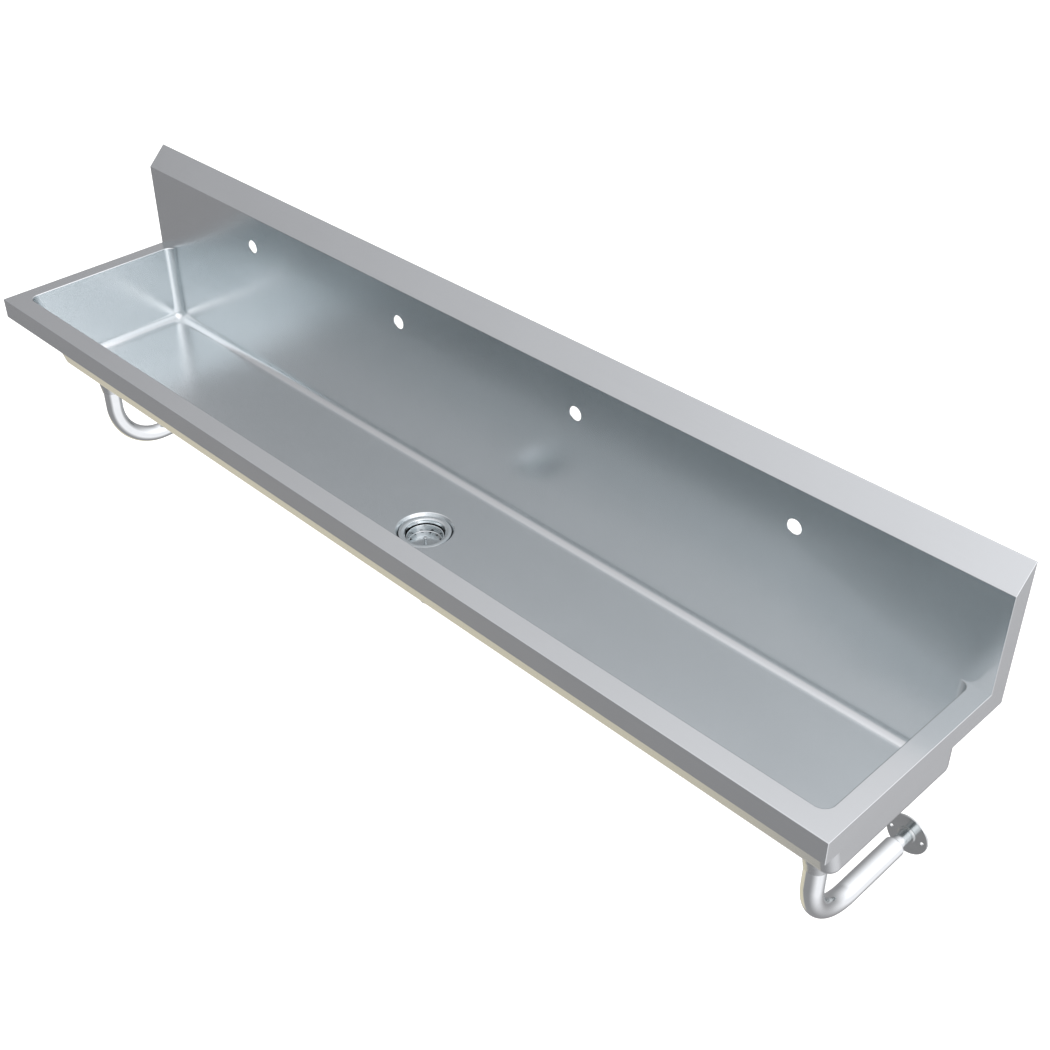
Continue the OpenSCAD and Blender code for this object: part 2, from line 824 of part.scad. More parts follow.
bowl_pan();
bowl_end(-1);  // bowl_end_left
bowl_end(1);  // bowl_end_right
rim_frame();
backsplash();
splash_cap(-1);  // splash_cap_left
splash_cap(1);  // splash_cap_right
joint_channel();
wall_hanger_rail();
bearer_channel(-1);  // bearer_channel_left
bearer_channel(1);  // bearer_channel_right
leg_socket(-1);  // leg_socket_left
leg_socket(1);  // leg_socket_right
socket_screws();
bracket_tube(-1);  // bracket_tube_left
bracket_tube(1);  // bracket_tube_right
tube_insert(-1);  // tube_insert_left
tube_insert(1);  // tube_insert_right
foot_stem(-1);  // foot_stem_left
foot_stem(1);  // foot_stem_right
wall_flange(-1);  // wall_flange_left
wall_flange(1);  // wall_flange_right
strainer_body();
strainer_outlet();
flange_seal();
rubber_gasket();
friction_washer();
lock_nut();
basket();
stopper_post();
stopper_plate();
stopper_seal();
stopper_nut();
tailpiece_washer();
tailpiece();
coupling_nut();
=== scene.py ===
import json
from math import cos, pi, radians, sin, tan

import bmesh
import bpy
from mathutils import Matrix, Vector


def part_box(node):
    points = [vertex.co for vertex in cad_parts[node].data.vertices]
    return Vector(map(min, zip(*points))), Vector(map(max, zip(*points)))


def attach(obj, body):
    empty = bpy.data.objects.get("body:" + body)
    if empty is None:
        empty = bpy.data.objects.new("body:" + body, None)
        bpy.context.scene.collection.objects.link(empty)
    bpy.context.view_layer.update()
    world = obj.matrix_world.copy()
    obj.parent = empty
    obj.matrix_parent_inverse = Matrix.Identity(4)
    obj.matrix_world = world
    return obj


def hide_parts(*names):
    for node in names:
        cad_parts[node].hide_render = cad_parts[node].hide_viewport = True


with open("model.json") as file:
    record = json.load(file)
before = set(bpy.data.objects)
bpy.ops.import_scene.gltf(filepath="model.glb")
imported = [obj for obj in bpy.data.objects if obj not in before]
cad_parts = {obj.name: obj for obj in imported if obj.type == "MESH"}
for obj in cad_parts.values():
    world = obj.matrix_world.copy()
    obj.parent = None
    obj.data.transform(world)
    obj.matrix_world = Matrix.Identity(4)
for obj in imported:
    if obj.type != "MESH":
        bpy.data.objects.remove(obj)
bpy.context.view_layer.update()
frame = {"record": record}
mm = 0.001
bodyOf = {node: body for body, nodes in frame["record"]["behaviour"]["bodies"].items() for node in nodes}
print("frame loaded:", len(bodyOf), "nodes")


def newObject(name, data):
    made = bpy.data.objects.new(name, data)
    bpy.context.scene.collection.objects.link(made)
    return made


# Camera: stands in front of the right end, looks down along the sink

cameraSetup = {
    "place": (1.94335, -1.84494, 1.64773),
    "aim": (0.27701, -0.19895, -0.06225),
    "roll": radians(-0.132),
    "lens": 50.05,
    "sensor": 36,
    "near": 0.05,
    "far": 200,
}


def makeCamera(setup):
    data = bpy.data.cameras.new("sinkCamera")
    data.lens, data.sensor_width = setup["lens"], setup["sensor"]
    data.clip_start, data.clip_end = setup["near"], setup["far"]
    camera = newObject("sinkCamera", data)
    eye = Vector(setup["place"])
    turn = (Vector(setup["aim"]) - eye).to_track_quat("-Z", "Y").to_matrix().to_4x4()
    camera.matrix_world = Matrix.Translation(eye) @ turn @ Matrix.Rotation(setup["roll"], 4, "Z")
    bpy.context.scene.camera = camera


makeCamera(cameraSetup)


# Node trees: values are written as expressions, other nodes come from Graph.add

class Value:
    def __init__(self, graph, socket):
        self.graph, self.socket = graph, socket

    def math(self, operation, other=0, turned=False):
        first, second = (other, self) if turned else (self, other)
        return self.graph.add("ShaderNodeMath", {"operation": operation}, {0: first, 1: second})

    def __add__(self, other):
        return self.math("ADD", other)

    __radd__ = __add__

    def __sub__(self, other):
        return self.math("SUBTRACT", other)

    def __rsub__(self, other):
        return self.math("SUBTRACT", other, True)

    def __mul__(self, other):
        return self.math("MULTIPLY", other)

    __rmul__ = __mul__

    def __truediv__(self, other):
        return self.math("DIVIDE", other)

    def __pow__(self, other):
        return self.math("POWER", other)

    def atLeast(self, other):
        return self.math("MAXIMUM", other)

    def atMost(self, other):
        return self.math("MINIMUM", other)

    def size(self):
        return self.math("ABSOLUTE")

    def smooth(self, start, end):    # 0 at start, 1 at end, with soft ends
        sockets = {"Value": self, "From Min": start, "From Max": end}
        return self.graph.add("ShaderNodeMapRange", {"interpolation_type": "SMOOTHSTEP"}, sockets)


class Graph:
    def __init__(self, tree):
        self.tree = tree

    def add(self, kind, settings=None, sockets=None, out=0):
        node = self.tree.nodes.new(kind)
        for name, setting in (settings or {}).items():
            setattr(node, name, setting)
        for name, value in (sockets or {}).items():
            if isinstance(value, Value):
                self.tree.links.new(value.socket, node.inputs[name])
            else:
                node.inputs[name].default_value = value
        return Value(self, node.outputs[out]) if node.outputs else node

    def parts(self, vector):
        split = self.add("ShaderNodeSeparateXYZ", None, {"Vector": vector}).socket.node
        return [Value(self, output) for output in split.outputs]


def newMaterial(name):
    material = bpy.data.materials.new(name)
    material.use_nodes = True
    material.node_tree.nodes.clear()
    return material, Graph(material.node_tree)


# Metal finishes

def objectPoint(graph, stretch=(1, 1, 1)):
    point = graph.add("ShaderNodeTexCoord", None, None, "Object")
    return graph.add("ShaderNodeMapping", None, {"Vector": point, "Scale": stretch})


def noise(graph, point, scale, detail=2, rough=0.5):
    sockets = {"Vector": point, "Scale": scale, "Detail": detail, "Roughness": rough}
    return graph.add("ShaderNodeTexNoise", None, sockets)


def surface(graph, sockets):
    shader = graph.add("ShaderNodeBsdfPrincipled", None, sockets)
    graph.add("ShaderNodeOutputMaterial", None, {"Surface": shader})


brushedSheet = {
    "light": (0.675, 0.715, 0.728, 1),
    "dark": (0.631, 0.668, 0.680, 1),
    "roughness": 0.235,
    "grainRoughness": 0.05,
    "cloudRoughness": 0.035,
    "grainAlong": 6,            # grain is this coarse along the brushing
    "grainAcross": 900,
    "cloudScale": 5.5,
    "grainHeight": 0.00002,
    "grainStrength": 0.07,
    "endsFrom": 0.6,            # faces turned further to the ends than this are brushed upright
    "endsFlat": 0.85,           # share of the grain's height that is left out there
}


def makeBrushed(name, finish):
    material, graph = newMaterial(name)
    slow, fast = finish["grainAlong"], finish["grainAcross"]
    lengthwise = noise(graph, objectPoint(graph, (slow, fast, fast)), 1, 3, 0.6)
    crosswise = noise(graph, objectPoint(graph, (fast, slow, fast)), 1, 3, 0.6)
    normal = graph.add("ShaderNodeNewGeometry", None, None, "Normal")
    facing = graph.parts(normal)[0].size()
    onEnds = ((facing - finish["endsFrom"]) * 5).atLeast(0).atMost(1)
    grain = lengthwise * (1 - onEnds) + crosswise * onEnds
    cloud = noise(graph, objectPoint(graph), finish["cloudScale"], 4, 0.55)
    rough = finish["roughness"] + (grain - 0.5) * finish["grainRoughness"]
    rough = rough + (cloud - 0.5) * finish["cloudRoughness"]
    mixing = ((grain * 0.6 + cloud * 0.4 - 0.5) * 1.6 + 0.5).atLeast(0).atMost(1)
    colour = mixColours(graph, {"Factor": mixing, "A": finish["dark"], "B": finish["light"]})
    bump = graph.add("ShaderNodeBump", None, {
        "Strength": finish["grainStrength"], "Distance": finish["grainHeight"],
        "Height": grain * (1 - onEnds * finish["endsFlat"]),
    })
    surface(graph, {"Base Color": colour, "Metallic": 1, "Roughness": rough, "Normal": bump})
    return material


def mixColours(graph, sockets):
    node = graph.tree.nodes.new("ShaderNodeMix")
    node.data_type = "RGBA"
    named = {"Factor": node.inputs[0], "A": node.inputs[6], "B": node.inputs[7]}
    for name, value in sockets.items():
        if isinstance(value, Value):
            graph.tree.links.new(value.socket, named[name])
        else:
            named[name].default_value = value
    return Value(graph, node.outputs[2])


turnedMetals = {
    "polishedTube": {
        "light": (0.765, 0.81, 0.82, 1), "dark": (0.705, 0.748, 0.757, 1), "roughness": 0.105,
        "spread": 0.04, "scratch": (260, 260, 260), "scratchHeight": 0.000004, "cloud": 14,
    },
    "polishedFitting": {
        "light": (0.735, 0.78, 0.79, 1), "dark": (0.668, 0.708, 0.717, 1), "roughness": 0.17,
        "spread": 0.07, "scratch": (420, 30, 420), "scratchHeight": 0.000006, "cloud": 30,
    },
    "turnedFlange": {
        "light": (0.625, 0.66, 0.662, 1), "dark": (0.55, 0.582, 0.585, 1), "roughness": 0.15,
        "spread": 0.06, "scratch": (500, 80, 500), "scratchHeight": 0.00001, "cloud": 30,
    },
    "spunWaste": {
        "light": (0.75, 0.80, 0.815, 1), "dark": (0.665, 0.71, 0.725, 1), "roughness": 0.16,
        "spread": 0.06, "scratch": (90, 90, 1500), "scratchHeight": 0.000006, "cloud": 45,
        # painted shade round the drain: a dark gap round the basket, darker below it, and a dark cup under the
        # drain holes
        "drain": {
            "axis": (0, -0.2268),
            "gap": {
                "inner": (0.0403, 0.0412), "outer": (0.0438, 0.0432), "down": (-0.2162, -0.2172), "dark": 0.96,
            },
            "below": {"down": (-0.2182, -0.2282), "dark": 0.3},
            "cup": {
                "foot": (-0.2615, -0.2605), "top": (-0.2368, -0.2378), "reach": (0.0408, 0.0398), "dark": 0.93,
            },
        },
    },
    "socketCasting": {
        "light": (0.685, 0.727, 0.735, 1), "dark": (0.59, 0.627, 0.63, 1), "roughness": 0.24,
        "spread": 0.10, "scratch": (700, 700, 700), "scratchHeight": 0.00003, "cloud": 35,
    },
    "castBrass": {
        "light": (0.86, 0.66, 0.33, 1), "dark": (0.66, 0.46, 0.20, 1), "roughness": 0.34,
        "spread": 0.14, "scratch": (900, 900, 900), "scratchHeight": 0.00005, "cloud": 60,
    },
    "platedNut": {
        "light": (0.76, 0.76, 0.755, 1), "dark": (0.62, 0.62, 0.61, 1), "roughness": 0.22,
        "spread": 0.10, "scratch": (600, 600, 600), "scratchHeight": 0.00003, "cloud": 55,
    },
    "blackenedScrew": {
        "light": (0.20, 0.20, 0.205, 1), "dark": (0.10, 0.10, 0.105, 1), "roughness": 0.36,
        "spread": 0.12, "scratch": (1200, 1200, 1200), "scratchHeight": 0.00002, "cloud": 300,
    },
}


def paintedDrainShade(graph, drain):
    # painted shade: the gap round the basket is painted dark, it is painted darker below the gap, and the cup
    # under the drain holes is painted dark
    x, y, z = graph.parts(objectPoint(graph))
    x, y = x - drain["axis"][0], y - drain["axis"][1]
    reach = (x * x + y * y) ** 0.5
    gap, below, cup = drain["gap"], drain["below"], drain["cup"]
    paintedShade = reach.smooth(*gap["inner"]) * reach.smooth(*gap["outer"]) * z.smooth(*gap["down"])
    inCup = z.smooth(*cup["foot"]) * z.smooth(*cup["top"]) * reach.smooth(*cup["reach"])
    dim = z.smooth(*below["down"]) * below["dark"]
    return (paintedShade * gap["dark"]).atLeast(dim).atLeast(inCup * cup["dark"])


def makeTurned(name, finish):
    material, graph = newMaterial(name)
    cloud = noise(graph, objectPoint(graph), finish["cloud"], 4, 0.6)
    scratch = noise(graph, objectPoint(graph, finish["scratch"]), 1, 3, 0.65)
    worn = noise(graph, objectPoint(graph), finish["cloud"] * 5, 5, 0.7)
    mixing = ((cloud - 0.5) * 1.5 + (worn - 0.5) * 0.6 + 0.5).atLeast(0).atMost(1)
    colour = mixColours(graph, {"Factor": mixing, "A": finish["dark"], "B": finish["light"]})
    # the drain's painted shade mixes the colour towards black
    if "drain" in finish:
        paintedShade = paintedDrainShade(graph, finish["drain"])
        colour = mixColours(graph, {"Factor": paintedShade, "A": colour, "B": (0, 0, 0, 1)})
    rough = finish["roughness"] + (cloud - 0.5 + (scratch - 0.5) * 0.5) * finish["spread"]
    bump = graph.add("ShaderNodeBump", None, {
        "Strength": 0.2, "Distance": finish["scratchHeight"], "Height": scratch,
    })
    surface(graph, {"Base Color": colour, "Metallic": 1, "Roughness": rough, "Normal": bump})
    return material


galvanised = {
    "bright": (0.675, 0.715, 0.725, 1),
    "dull": (0.485, 0.515, 0.53, 1),
    "spangle": 70,
    "haze": 18,
    "roughness": 0.33,
}


def makeGalvanised(name, finish):
    material, graph = newMaterial(name)
    point = objectPoint(graph)
    cells = graph.add("ShaderNodeTexVoronoi", None, {"Vector": point, "Scale": finish["spangle"]}, "Color")
    tone = graph.parts(cells)[0]
    haze = noise(graph, point, finish["haze"], 4, 0.6)
    mixing = (tone * 0.6 + haze * 0.4).atMost(1)
    colour = mixColours(graph, {"Factor": mixing, "A": finish["dull"], "B": finish["bright"]})
    rough = finish["roughness"] + (tone - 0.5) * 0.12 + (haze - 0.5) * 0.1
    bump = graph.add("ShaderNodeBump", None, {"Strength": 0.15, "Distance": 0.00004, "Height": haze})
    surface(graph, {"Base Color": colour, "Metallic": 1, "Roughness": rough, "Normal": bump})
    return material


softParts = {
    "blackRubber": {
        "light": (0.055, 0.055, 0.058, 1), "dark": (0.022, 0.022, 0.024, 1),
        "roughness": 0.55, "grain": 900, "grainHeight": 0.00008,
    },
    "greyFibre": {
        "light": (0.62, 0.47, 0.30, 1), "dark": (0.42, 0.30, 0.18, 1),
        "roughness": 0.8, "grain": 600, "grainHeight": 0.00012,
    },
}


def makeSoft(name, finish):
    material, graph = newMaterial(name)
    grain = noise(graph, objectPoint(graph), finish["grain"], 3, 0.7)
    bloom = noise(graph, objectPoint(graph), finish["grain"] / 12, 4, 0.6)
    mixing = (grain * 0.5 + bloom * 0.5).atMost(1)
    colour = mixColours(graph, {"Factor": mixing, "A": finish["dark"], "B": finish["light"]})
    rough = finish["roughness"] + (bloom - 0.5) * 0.25
    bump = graph.add("ShaderNodeBump", None, {
        "Strength": 0.4, "Distance": finish["grainHeight"], "Height": grain,
    })
    surface(graph, {"Base Color": colour, "Metallic": 0, "Roughness": rough, "Normal": bump})
    return material


finishes = {"brushedSheet": makeBrushed("brushedSheet", brushedSheet)}
finishes["galvanised"] = makeGalvanised("galvanised", galvanised)
for finishName, finish in turnedMetals.items():
    finishes[finishName] = makeTurned(finishName, finish)
for finishName, finish in softParts.items():
    finishes[finishName] = makeSoft(finishName, finish)
print("finishes made:", len(finishes))


# Mesh helpers

def rounded(path, steps=5):
    # path holds (a, b, radius); returns (a, b, normal a, normal b), with the normal on the left of the travel
    made = []
    for i, (a, b, radius) in enumerate(path):
        here = Vector((a, b))
        before = here - Vector(path[i - 1][:2]) if i else None
        after = Vector(path[i + 1][:2]) - here if i + 1 < len(path) else None
        if before is None or after is None:
            line = (after or before).normalized()
            made.append((a, b, -line.y, line.x))
            continue
        into, out = before.normalized(), after.normalized()
        turn = into.angle_signed(out)
        if radius <= 0 or abs(turn) < 0.001:
            made.append((a, b, -into.y, into.x))
            made.append((a, b, -out.y, out.x))
            continue
        side = 1 if turn > 0 else -1
        room = 0.49 * min(before.length, after.length)      # so that two neighbouring rounds can't meet
        reach = min(radius * tan(abs(turn) / 2), room)
        radius = reach / tan(abs(turn) / 2)
        start = here - into * reach
        normal = Vector((-into.y, into.x))
        centre = start - normal * radius * side
        for step in range(steps + 1):
            spin = Matrix.Rotation(-turn * step / steps, 2)
            ray = spin @ normal
            made.append((*(centre + ray * radius * side), ray.x, ray.y))
    return made


def closedRounded(path, steps=3):
    # the same for a closed outline, started halfway along its last side
    first, last = Vector(path[0][:2]), Vector(path[-1][:2])
    middle = (first + last) / 2
    whole = rounded([(*middle, 0), *path, (*middle, 0)], steps)
    return [(a, b) for a, b, *_ in whole[:-1]]


class Skin:
    # gathers faces by their corner points; points that fall together are joined at the end
    def __init__(self):
        self.points, self.faces = [], []

    def face(self, corners):
        first = len(self.points)
        self.points += [tuple(corner) for corner in corners]
        self.faces.append(list(range(first, len(self.points))))

    def strip(self, rowA, rowB):
        for a, b, c, d in zip(rowA, rowA[1:], rowB[1:], rowB):
            self.face((a, b, c, d))

    def strips(self, rows, closed=False):
        for rowA, rowB in zip(rows, rows[1:] + rows[:1] if closed else rows[1:]):
            self.strip(rowA, rowB)

    def mirror(self):
        count = len(self.points)
        self.points += [(-x, y, z) for x, y, z in self.points]
        self.faces += [[i + count for i in reversed(face)] for face in self.faces]

    def build(self, name, upIsOut=None):
        mesh = bpy.data.meshes.new(name)
        mesh.from_pydata(self.points, [], self.faces)
        work = bmesh.new()
        work.from_mesh(mesh)
        bmesh.ops.remove_doubles(work, verts=work.verts, dist=0.00002)
        bmesh.ops.dissolve_degenerate(work, edges=work.edges, dist=0.00001)
        bmesh.ops.recalc_face_normals(work, faces=work.faces)
        if upIsOut is not None:
            largest = max((f for f in work.faces if abs(f.normal.z) > 0.9), key=lambda f: f.calc_area())
            if (largest.normal.z > 0) != upIsOut:
                bmesh.ops.reverse_faces(work, faces=work.faces)
        work.to_mesh(mesh)
        work.free()
        return newObject(name, mesh)


def settle(piece):
    bpy.context.view_layer.update()
    seen = piece.evaluated_get(bpy.context.evaluated_depsgraph_get())
    mesh = bpy.data.meshes.new_from_object(seen)
    mesh.name = piece.name
    piece.modifiers.clear()
    piece.data = mesh


def thicken(piece, thickness, offset=-1, quality=False):
    wall = piece.modifiers.new("wall", "SOLIDIFY")
    wall.thickness, wall.offset = thickness, offset
    wall.use_even_offset, wall.use_quality_normals = True, quality
    settle(piece)


def softEdges(piece, width, angle=40):
    edges = piece.modifiers.new("edges", "BEVEL")
    edges.width, edges.segments = width, 2
    edges.limit_method, edges.angle_limit = "ANGLE", radians(angle)
    settle(piece)


def shade(piece):
    mesh = piece.data
    mesh.polygons.foreach_set("use_smooth", [True] * len(mesh.polygons))
    mesh.set_sharp_from_angle(angle=radians(35))
    weighted = piece.modifiers.new("evenShading", "WEIGHTED_NORMAL")
    weighted.keep_sharp = True
    settle(piece)


def place(piece, nodes, finish):
    piece.data.materials.clear()
    piece.data.materials.append(finishes[finish])
    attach(piece, bodyOf[nodes[0]])
    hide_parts(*nodes)
    return piece


def lathe(name, outline, centre, axis="Z", steps=96):
    # outline holds the (radius, height) points of a closed section
    skin = Skin()
    rows = []
    for step in range(steps):
        c, s = cos(2 * pi * step / steps), sin(2 * pi * step / steps)
        if axis == "Z":
            row = [(centre[0] + r * c, centre[1] + r * s, centre[2] + h) for r, h in outline]
        else:
            row = [(centre[0] + r * c, centre[1] + h, centre[2] - r * s) for r, h in outline]
        rows.append(row + row[:1])
    skin.strips(rows, closed=True)
    return skin.build(name)


# Sheet metal: one skin of folded and welded sheet, thickened inwards

rimLow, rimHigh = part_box("rim_frame")
splashLow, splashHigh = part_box("backsplash")

sheetMetal = {
    "sheet": 2 * mm,
    "bend": 2.2 * mm,            # outside radius of the long folds
    "endBend": 0.8 * mm,         # and of the folds and ground welds at the two ends
    "bendSteps": 5,
    "frontRim": 48 * mm,
    "endRim": 38.8 * mm,
    "hem": 12 * mm,
    "cove": 22 * mm,
    "lean": radians(16),         # of the front wall, from upright
    "coveSteps": 14,
    "cornerSteps": 14,
    "floor": -203.2 * mm,
    "splashFace": 207.3 * mm,
    "crestLift": 2.4 * mm,       # puts the rounded crest where the sharp one would be
    "turnDown": 30 * mm,
    "tapHole": 31.75 * mm,
    "tapPitch": 533.4 * mm,
    "tapHeight": 127 * mm,
    "holeSteps": 24,
    "cuspShare": 0.7,            # share of the rim's sliver that the fold takes beside the splash
    "wasteFromSplash": 178 * mm,
    "recess": 63.4 * mm,
    "recessFoot": 58.2 * mm,
    "recessDepth": 8.5 * mm,
    "recessBend": 2.4 * mm,
    "wasteHole": 45.5 * mm,
    "recessSteps": 48,
}


def makeSheetMetal(sizes):
    skin = Skin()
    halfLength, frontY, lowZ = rimHigh.x, rimLow.y, rimLow.z
    faceY, crestZ = splashLow.y, splashHigh.z
    bend, cove, endBend = sizes["bend"], sizes["cove"], sizes["endBend"]
    quarter = [pi / 2 * step / sizes["bendSteps"] for step in range(sizes["bendSteps"] + 1)]
    cornerX = halfLength - sizes["endRim"] - cove
    axisZ = sizes["floor"] + cove
    lean, rise = sizes["lean"], -sizes["sheet"] - axisZ
    frontAxisY = frontY + sizes["frontRim"] + (cove + rise * sin(lean)) / cos(lean)
    backAxisY = faceY - cove
    foot, axis = Vector((cornerX, frontAxisY, axisZ)), Vector((0, -sin(lean), cos(lean)))
    up, down = Vector((0, 0, 1)), Vector((0, 0, -1))
    tapX = [sizes["tapPitch"] / 2, sizes["tapPitch"] * 3 / 2]
    turns = [pi / 2 * step / sizes["cornerSteps"] for step in range(sizes["cornerSteps"] + 1)]

    def bendAt(turn):
        # the fold of the rim narrows to nothing where the corner meets the splash
        room = cove * (1 / max(sin(turn), 0.001) - 1)
        return min(bend, sizes["cuspShare"] * room) if turn > 0 else bend

    def outward(turn):               # from the corner's leaning axis to the wall
        return Vector((sin(turn), -cos(lean) * cos(turn), -sin(lean) * cos(turn)))

    def between(start, end, share):
        angle = start.angle(end)
        return (start * sin(angle * (1 - share)) + end * sin(angle * share)) / sin(angle)

    def foldPoint(turn, share):
        way = outward(turn)
        climb = (-bend - axisZ - (cove + bend) * way.z) / cos(lean)
        return foot + way * (cove + bend) + axis * climb + between(-way, up, share) * bend

    def covePoint(turn, share):
        return foot + between(outward(turn), down, share) * cove

    def ring(front, share, move):
        # half of the opening, from the middle of the front to the middle of the back
        # front(turn, share) gives a point of the leaning corner, move(fold) the (radius, z) of the upright one
        row = [front(t, share) for t in turns]
        row.insert(0, Vector((0, row[0].y, row[0].z)))
        for t in turns:
            radius, z = move(bendAt(t))
            row.append((cornerX + radius * cos(t), backAxisY + radius * sin(t), z))
        radius, z = move(0)
        row += [(x, backAxisY + radius, z) for x in (tapX[1], tapX[0], 0)]
        return row

    rimEdge = [
        ring(foldPoint, t * 2 / pi, lambda fold, t=t: (cove + fold * (1 - cos(t)), -fold * (1 - sin(t))))
        for t in quarter
    ]
    skin.strips(rimEdge)
    coveTurns = [pi / 2 * step / sizes["coveSteps"] for step in range(sizes["coveSteps"] + 1)]
    coveRings = [
        ring(covePoint, t * 2 / pi, lambda fold, t=t: (cove * cos(t), axisZ - cove * sin(t)))
        for t in coveTurns
    ]
    skin.strip(rimEdge[0], coveRings[0])
    skin.strips(coveRings)

    # floor with the recess of the waste
    wasteY = faceY - sizes["wasteFromSplash"]
    recessZ = sizes["floor"] - sizes["recessDepth"]
    fall = rounded([
        (sizes["recess"] + 4 * sizes["recessBend"], sizes["floor"], 0),
        (sizes["recess"], sizes["floor"], sizes["recessBend"]),
        (sizes["recessFoot"], recessZ, sizes["recessBend"]),
        (sizes["wasteHole"], recessZ, 0),
    ], 6)
    halfTurn = [pi * step / sizes["recessSteps"] for step in range(sizes["recessSteps"] + 1)]
    rows = [[(r * sin(t), wasteY + r * cos(t), z) for t in halfTurn] for r, z, *_ in fall]
    skin.strips(rows)
    floorRow = coveRings[-1]
    backBreaks = [(x, backAxisY, sizes["floor"]) for x in (tapX[1], tapX[0], 0)]
    corners = [floorRow[0], (cornerX, frontAxisY, sizes["floor"]), (cornerX, backAxisY, sizes["floor"])]
    skin.face(corners + backBreaks + rows[0])

    # flat rim, with the outer fold, apron and hem
    outerX, outerY = halfLength - endBend, frontY + bend
    inner = rimEdge[-1]
    arcMiddle = 1 + sizes["cornerSteps"] // 2
    backEnd = 1 + 2 * len(turns)
    skin.face([(0, outerY, 0), (outerX, outerY, 0)] + inner[arcMiddle::-1])
    skin.face([(outerX, outerY, 0), (outerX, faceY, 0)] + inner[backEnd - 1:arcMiddle - 1:-1])

    def edgeRing(reach, height, endY):
        # reach and height go with the bend, which narrows round the corner to the bend of the ends
        def fold(t):
            return bend * cos(t) ** 2 + endBend * sin(t) ** 2

        row = [(0, outerY - reach * bend, height(bend))]
        for t in turns:
            x, y = outerX + reach * endBend * sin(t), outerY - reach * bend * cos(t)
            row.append((x, y, height(fold(t))))
        return row + [(outerX + reach * endBend, endY, height(endBend))]

    topFold = [edgeRing(sin(t), lambda fold, t=t: -fold * (1 - cos(t)), faceY) for t in quarter]
    skin.strips(topFold)
    hemFold = [edgeRing(cos(t), lambda fold, t=t: lowZ + fold * (1 - sin(t)), -endBend) for t in quarter]
    skin.strip(topFold[-1][:-1], hemFold[0][:-1])
    skin.strips(hemFold)
    hemInner = [(0, frontY + sizes["hem"], lowZ)]
    hemX = halfLength - sizes["hem"]
    hemInner += [(hemX, frontY + sizes["hem"], lowZ)] * len(turns) + [(hemX, -endBend, lowZ)]
    skin.strip(hemFold[-1], hemInner)

    # splash: upright face, sloping band, turn-down at the wall
    section = rounded([
        (faceY, 0, 0),
        (faceY, sizes["splashFace"], bend),
        (0, crestZ + sizes["crestLift"], bend),
        (0, crestZ - sizes["turnDown"], 0),
    ], sizes["bendSteps"] + 1)
    breaks = [0, *tapX, outerX]
    rows = [[(x, y, z) for x in breaks] for y, z, *_ in section[1:]]
    skin.strips(rows)
    faceTop = section[1][1]
    hole, tapZ = sizes["tapHole"] / 2, sizes["tapHeight"]
    holeTurns = [pi * step / sizes["holeSteps"] for step in range(sizes["holeSteps"] + 1)]
    for left, right in zip(breaks, breaks[1:]):
        outline = [(left, faceY, 0)]
        outline += [(cornerX, faceY, 0)] if right > cornerX else []
        outline.append((right, faceY, 0))
        if right in tapX:
            outline += [(right - hole * sin(t), faceY, tapZ - hole * cos(t)) for t in holeTurns]
        outline += [(right, faceY, faceTop), (left, faceY, faceTop)]
        if left in tapX:
            outline += [(left + hole * sin(t), faceY, tapZ + hole * cos(t)) for t in holeTurns]
        skin.face(outline)

    # flat end: apron and end plate in one plane, with the ground weld along the splash
    section.append((0, lowZ + endBend, 1, 0))
    welds = [
        [(outerX + endBend * sin(t), y - endBend * (1 - cos(t)) * ny, z - endBend * (1 - cos(t)) * nz)
         for y, z, ny, nz in section]
        for t in quarter
    ]
    skin.strips(welds)
    foldEnd = [ringRow[-1] for ringRow in topFold]
    skin.strip(foldEnd, [row[0] for row in welds])
    skin.face([foldEnd[-1], *welds[-1], hemFold[0][-2], topFold[-1][-2]])

    skin.mirror()
    piece = skin.build("sheetMetal", upIsOut=True)
    thicken(piece, sizes["sheet"], quality=True)
    shade(piece)
    nodes = ["bowl_pan", "bowl_end_left", "bowl_end_right", "rim_frame", "backsplash"]
    return place(piece, nodes + ["splash_cap_left", "splash_cap_right"], "brushedSheet")


makeSheetMetal(sheetMetal)
print("sheet metal made")


# Folded channels and rail behind and under the sheet

def foldedSheet(name, path, spread, node, thickness, axis="X", offset=1):
    # path holds (across, z, radius); offset 1 puts the thickness to the right of the travel, -1 to the left
    skin = Skin()
    section = rounded(path, 5)
    if axis == "X":
        rows = [[(x, a, z) for x in spread] for a, z, *_ in section]
    else:
        rows = [[(a, y, z) for y in spread] for a, z, *_ in section]
    skin.strips(rows)
    piece = skin.build(name)
    across, up = section[0][2:]
    normal = Vector((0, across, up)) if axis == "X" else Vector((across, 0, up))
    if piece.data.polygons[0].normal.dot(normal) < 0:
        piece.data.flip_normals()
    thicken(piece, thickness, -offset)
    softEdges(piece, 0.2 * mm, 50)
    shade(piece)
    return place(piece, [node], "galvanised")


channels = {
    "sheet": 2 * mm, "bend": 2.6 * mm, "footBend": 0.6 * mm, "jointHalf": 25 * mm, "bearerFoot": 15 * mm,
}


def makeChannels(sizes):
    sheet, bend, footBend = sizes["sheet"], sizes["bend"], sizes["footBend"]
    low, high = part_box("joint_channel")
    half, backY, footY = sizes["jointHalf"], high.y, low.y + sheet
    foldedSheet("jointChannel", [
        (footY, low.z, 0), (footY, -half, footBend), (backY, -half, bend),
        (backY, half, bend), (footY, half, footBend), (footY, high.z, 0),
    ], (low.x, high.x), "joint_channel", sheet, offset=-1)
    for side in ("left", "right"):
        low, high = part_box("bearer_channel_" + side)
        foot, footZ = sizes["bearerFoot"], high.z - sheet
        foldedSheet("bearerChannel." + side, [
            (low.x, footZ, 0), (low.x + foot, footZ, footBend), (low.x + foot, low.z, bend),
            (high.x - foot, low.z, bend), (high.x - foot, footZ, footBend), (high.x, footZ, 0),
        ], (low.y, high.y), "bearer_channel_" + side, sheet, axis="Y")


makeChannels(channels)
print("channels made")


# Geometry Nodes helpers

